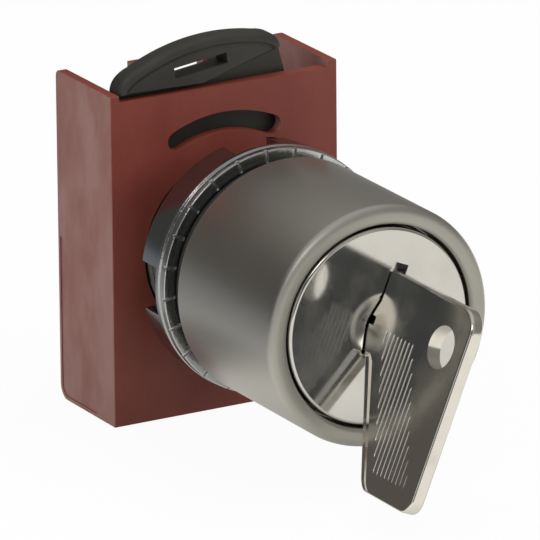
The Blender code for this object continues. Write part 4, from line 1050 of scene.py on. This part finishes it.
bpy.ops.mesh.primitive_plane_add(size=12, location=(0, 0, FLOOR_LEVEL))
floor = bpy.context.object
floor.name = "floor"
sweep = Finish("white_sweep")
back = sweep.add("VectorMath", {"operation": "DOT_PRODUCT"}, sweep.place(), DARK_SIDE, out="Value")
pool = (0.97, 0.945, 0.89)
for span, tone in FADES:
    pool = sweep.blend(back.step(*span), pool, tone)
for centre, span, depth, tone in SHADOWS:
    pool = sweep.blend((1 - sweep.distance(sweep.place(), centre).step(*span)) * depth, pool, tone)
by_camera, mirrored, through = (
    sweep.add("LightPath", {}, out=f"Is {ray} Ray") for ray in ("Camera", "Glossy", "Transmission"))
glow = sweep.add("Emission", {}, sweep.blend(by_camera, pool, WHITE), 1.0)
paper = sweep.add("BsdfDiffuse", {}, (0.80, 0.80, 0.80))
surface = sweep.add("MixShader", {}, (by_camera + mirrored + through).clamp() * 0.95, paper, glow)
sweep.join(surface, sweep.nodes["Material Output"].inputs["Surface"])
coat(floor, sweep.owner)
print("floor:", len(sweep.nodes), "nodes")

# %% Room
CARDS = [
    ((-0.86, -0.44, 0.24), (0.12, 0.36), (0.60, 0.61, 0.61)),
    ((-0.15, -0.985, 0.05), (0.12, 0.30), (0.90, 0.90, 0.88)),
    ((0.25, -0.85, 0.45), (0.15, 0.50), (0.50, 0.50, 0.47)),
]
world = bpy.data.worlds.new("room")
bpy.context.scene.world = world
room = Finish("room", world)
direction = room.add("TexCoord", {}, out="Generated")
right, behind, up = (room.axis(direction, name) for name in "XYZ")
walls = room.blend(behind.step(-0.5, 0.5), (0.055, 0.061, 0.068), (0.10, 0.093, 0.083))
walls = room.blend(right.step(-0.3, 0.7), walls, (0.22, 0.215, 0.20))
walls = room.blend(up.step(0.45, 0.95), walls, (0.55, 0.54, 0.52))
for toward, span, tone in CARDS:
    walls = room.blend(1 - room.distance(direction, toward).step(*span), walls, tone)
shown = room.blend(room.add("LightPath", {}, out="Is Camera Ray"), walls, WHITE)
room.join(shown, room.nodes["Background"].inputs["Color"])
print("room:", len(room.nodes), "nodes and", len(CARDS), "pale cards")

# %% [markdown]
# ## Lamps
#
# Three large lamps light the plastics and the rubber from above, from the left and from the front. They
# are hidden from the metal, which would show them as bright squares, and the metal mirrors the pale cards
# of the room instead. Only the smallest lamp shows in it, as a bright line along its upper edges.

# %% Lamps
def softbox(name, place, size, power, in_metal=False):
    """A large lamp that points at the switch, and shows in the metal only where it is said to."""
    lamp = bpy.data.objects.new(name, bpy.data.lights.new(name, "AREA"))
    lamp.data.shape = "RECTANGLE"
    lamp.data.size, lamp.data.size_y = size
    lamp.data.energy = power
    lamp.visible_glossy = in_metal
    bpy.context.scene.collection.objects.link(lamp)
    lamp.matrix_world = look(Vector(place), Vector((0, 0, 0)))


softbox("overhead_softbox", (0.10, -0.15, 0.75), (0.7, 0.5), 3.0)
softbox("left_softbox", (-0.80, -0.04, 0.30), (0.35, 0.5), 2.6)
softbox("front_softbox", (0.62, -0.70, 0.42), (0.4, 0.4), 3.4)
softbox("edge_softbox", (-0.42, -0.46, 0.60), (0.40, 0.24), 0.8, in_metal=True)
bpy.context.scene.view_settings.view_transform = "Standard"
print("lamps:", sorted(lamp.name for lamp in bpy.data.lights))

# %% [markdown]
# ## Last update
#
# The view layer is brought up to date at the end. The dressed model may not outgrow the solids.

# %% Update the view layer
bpy.context.view_layer.update()
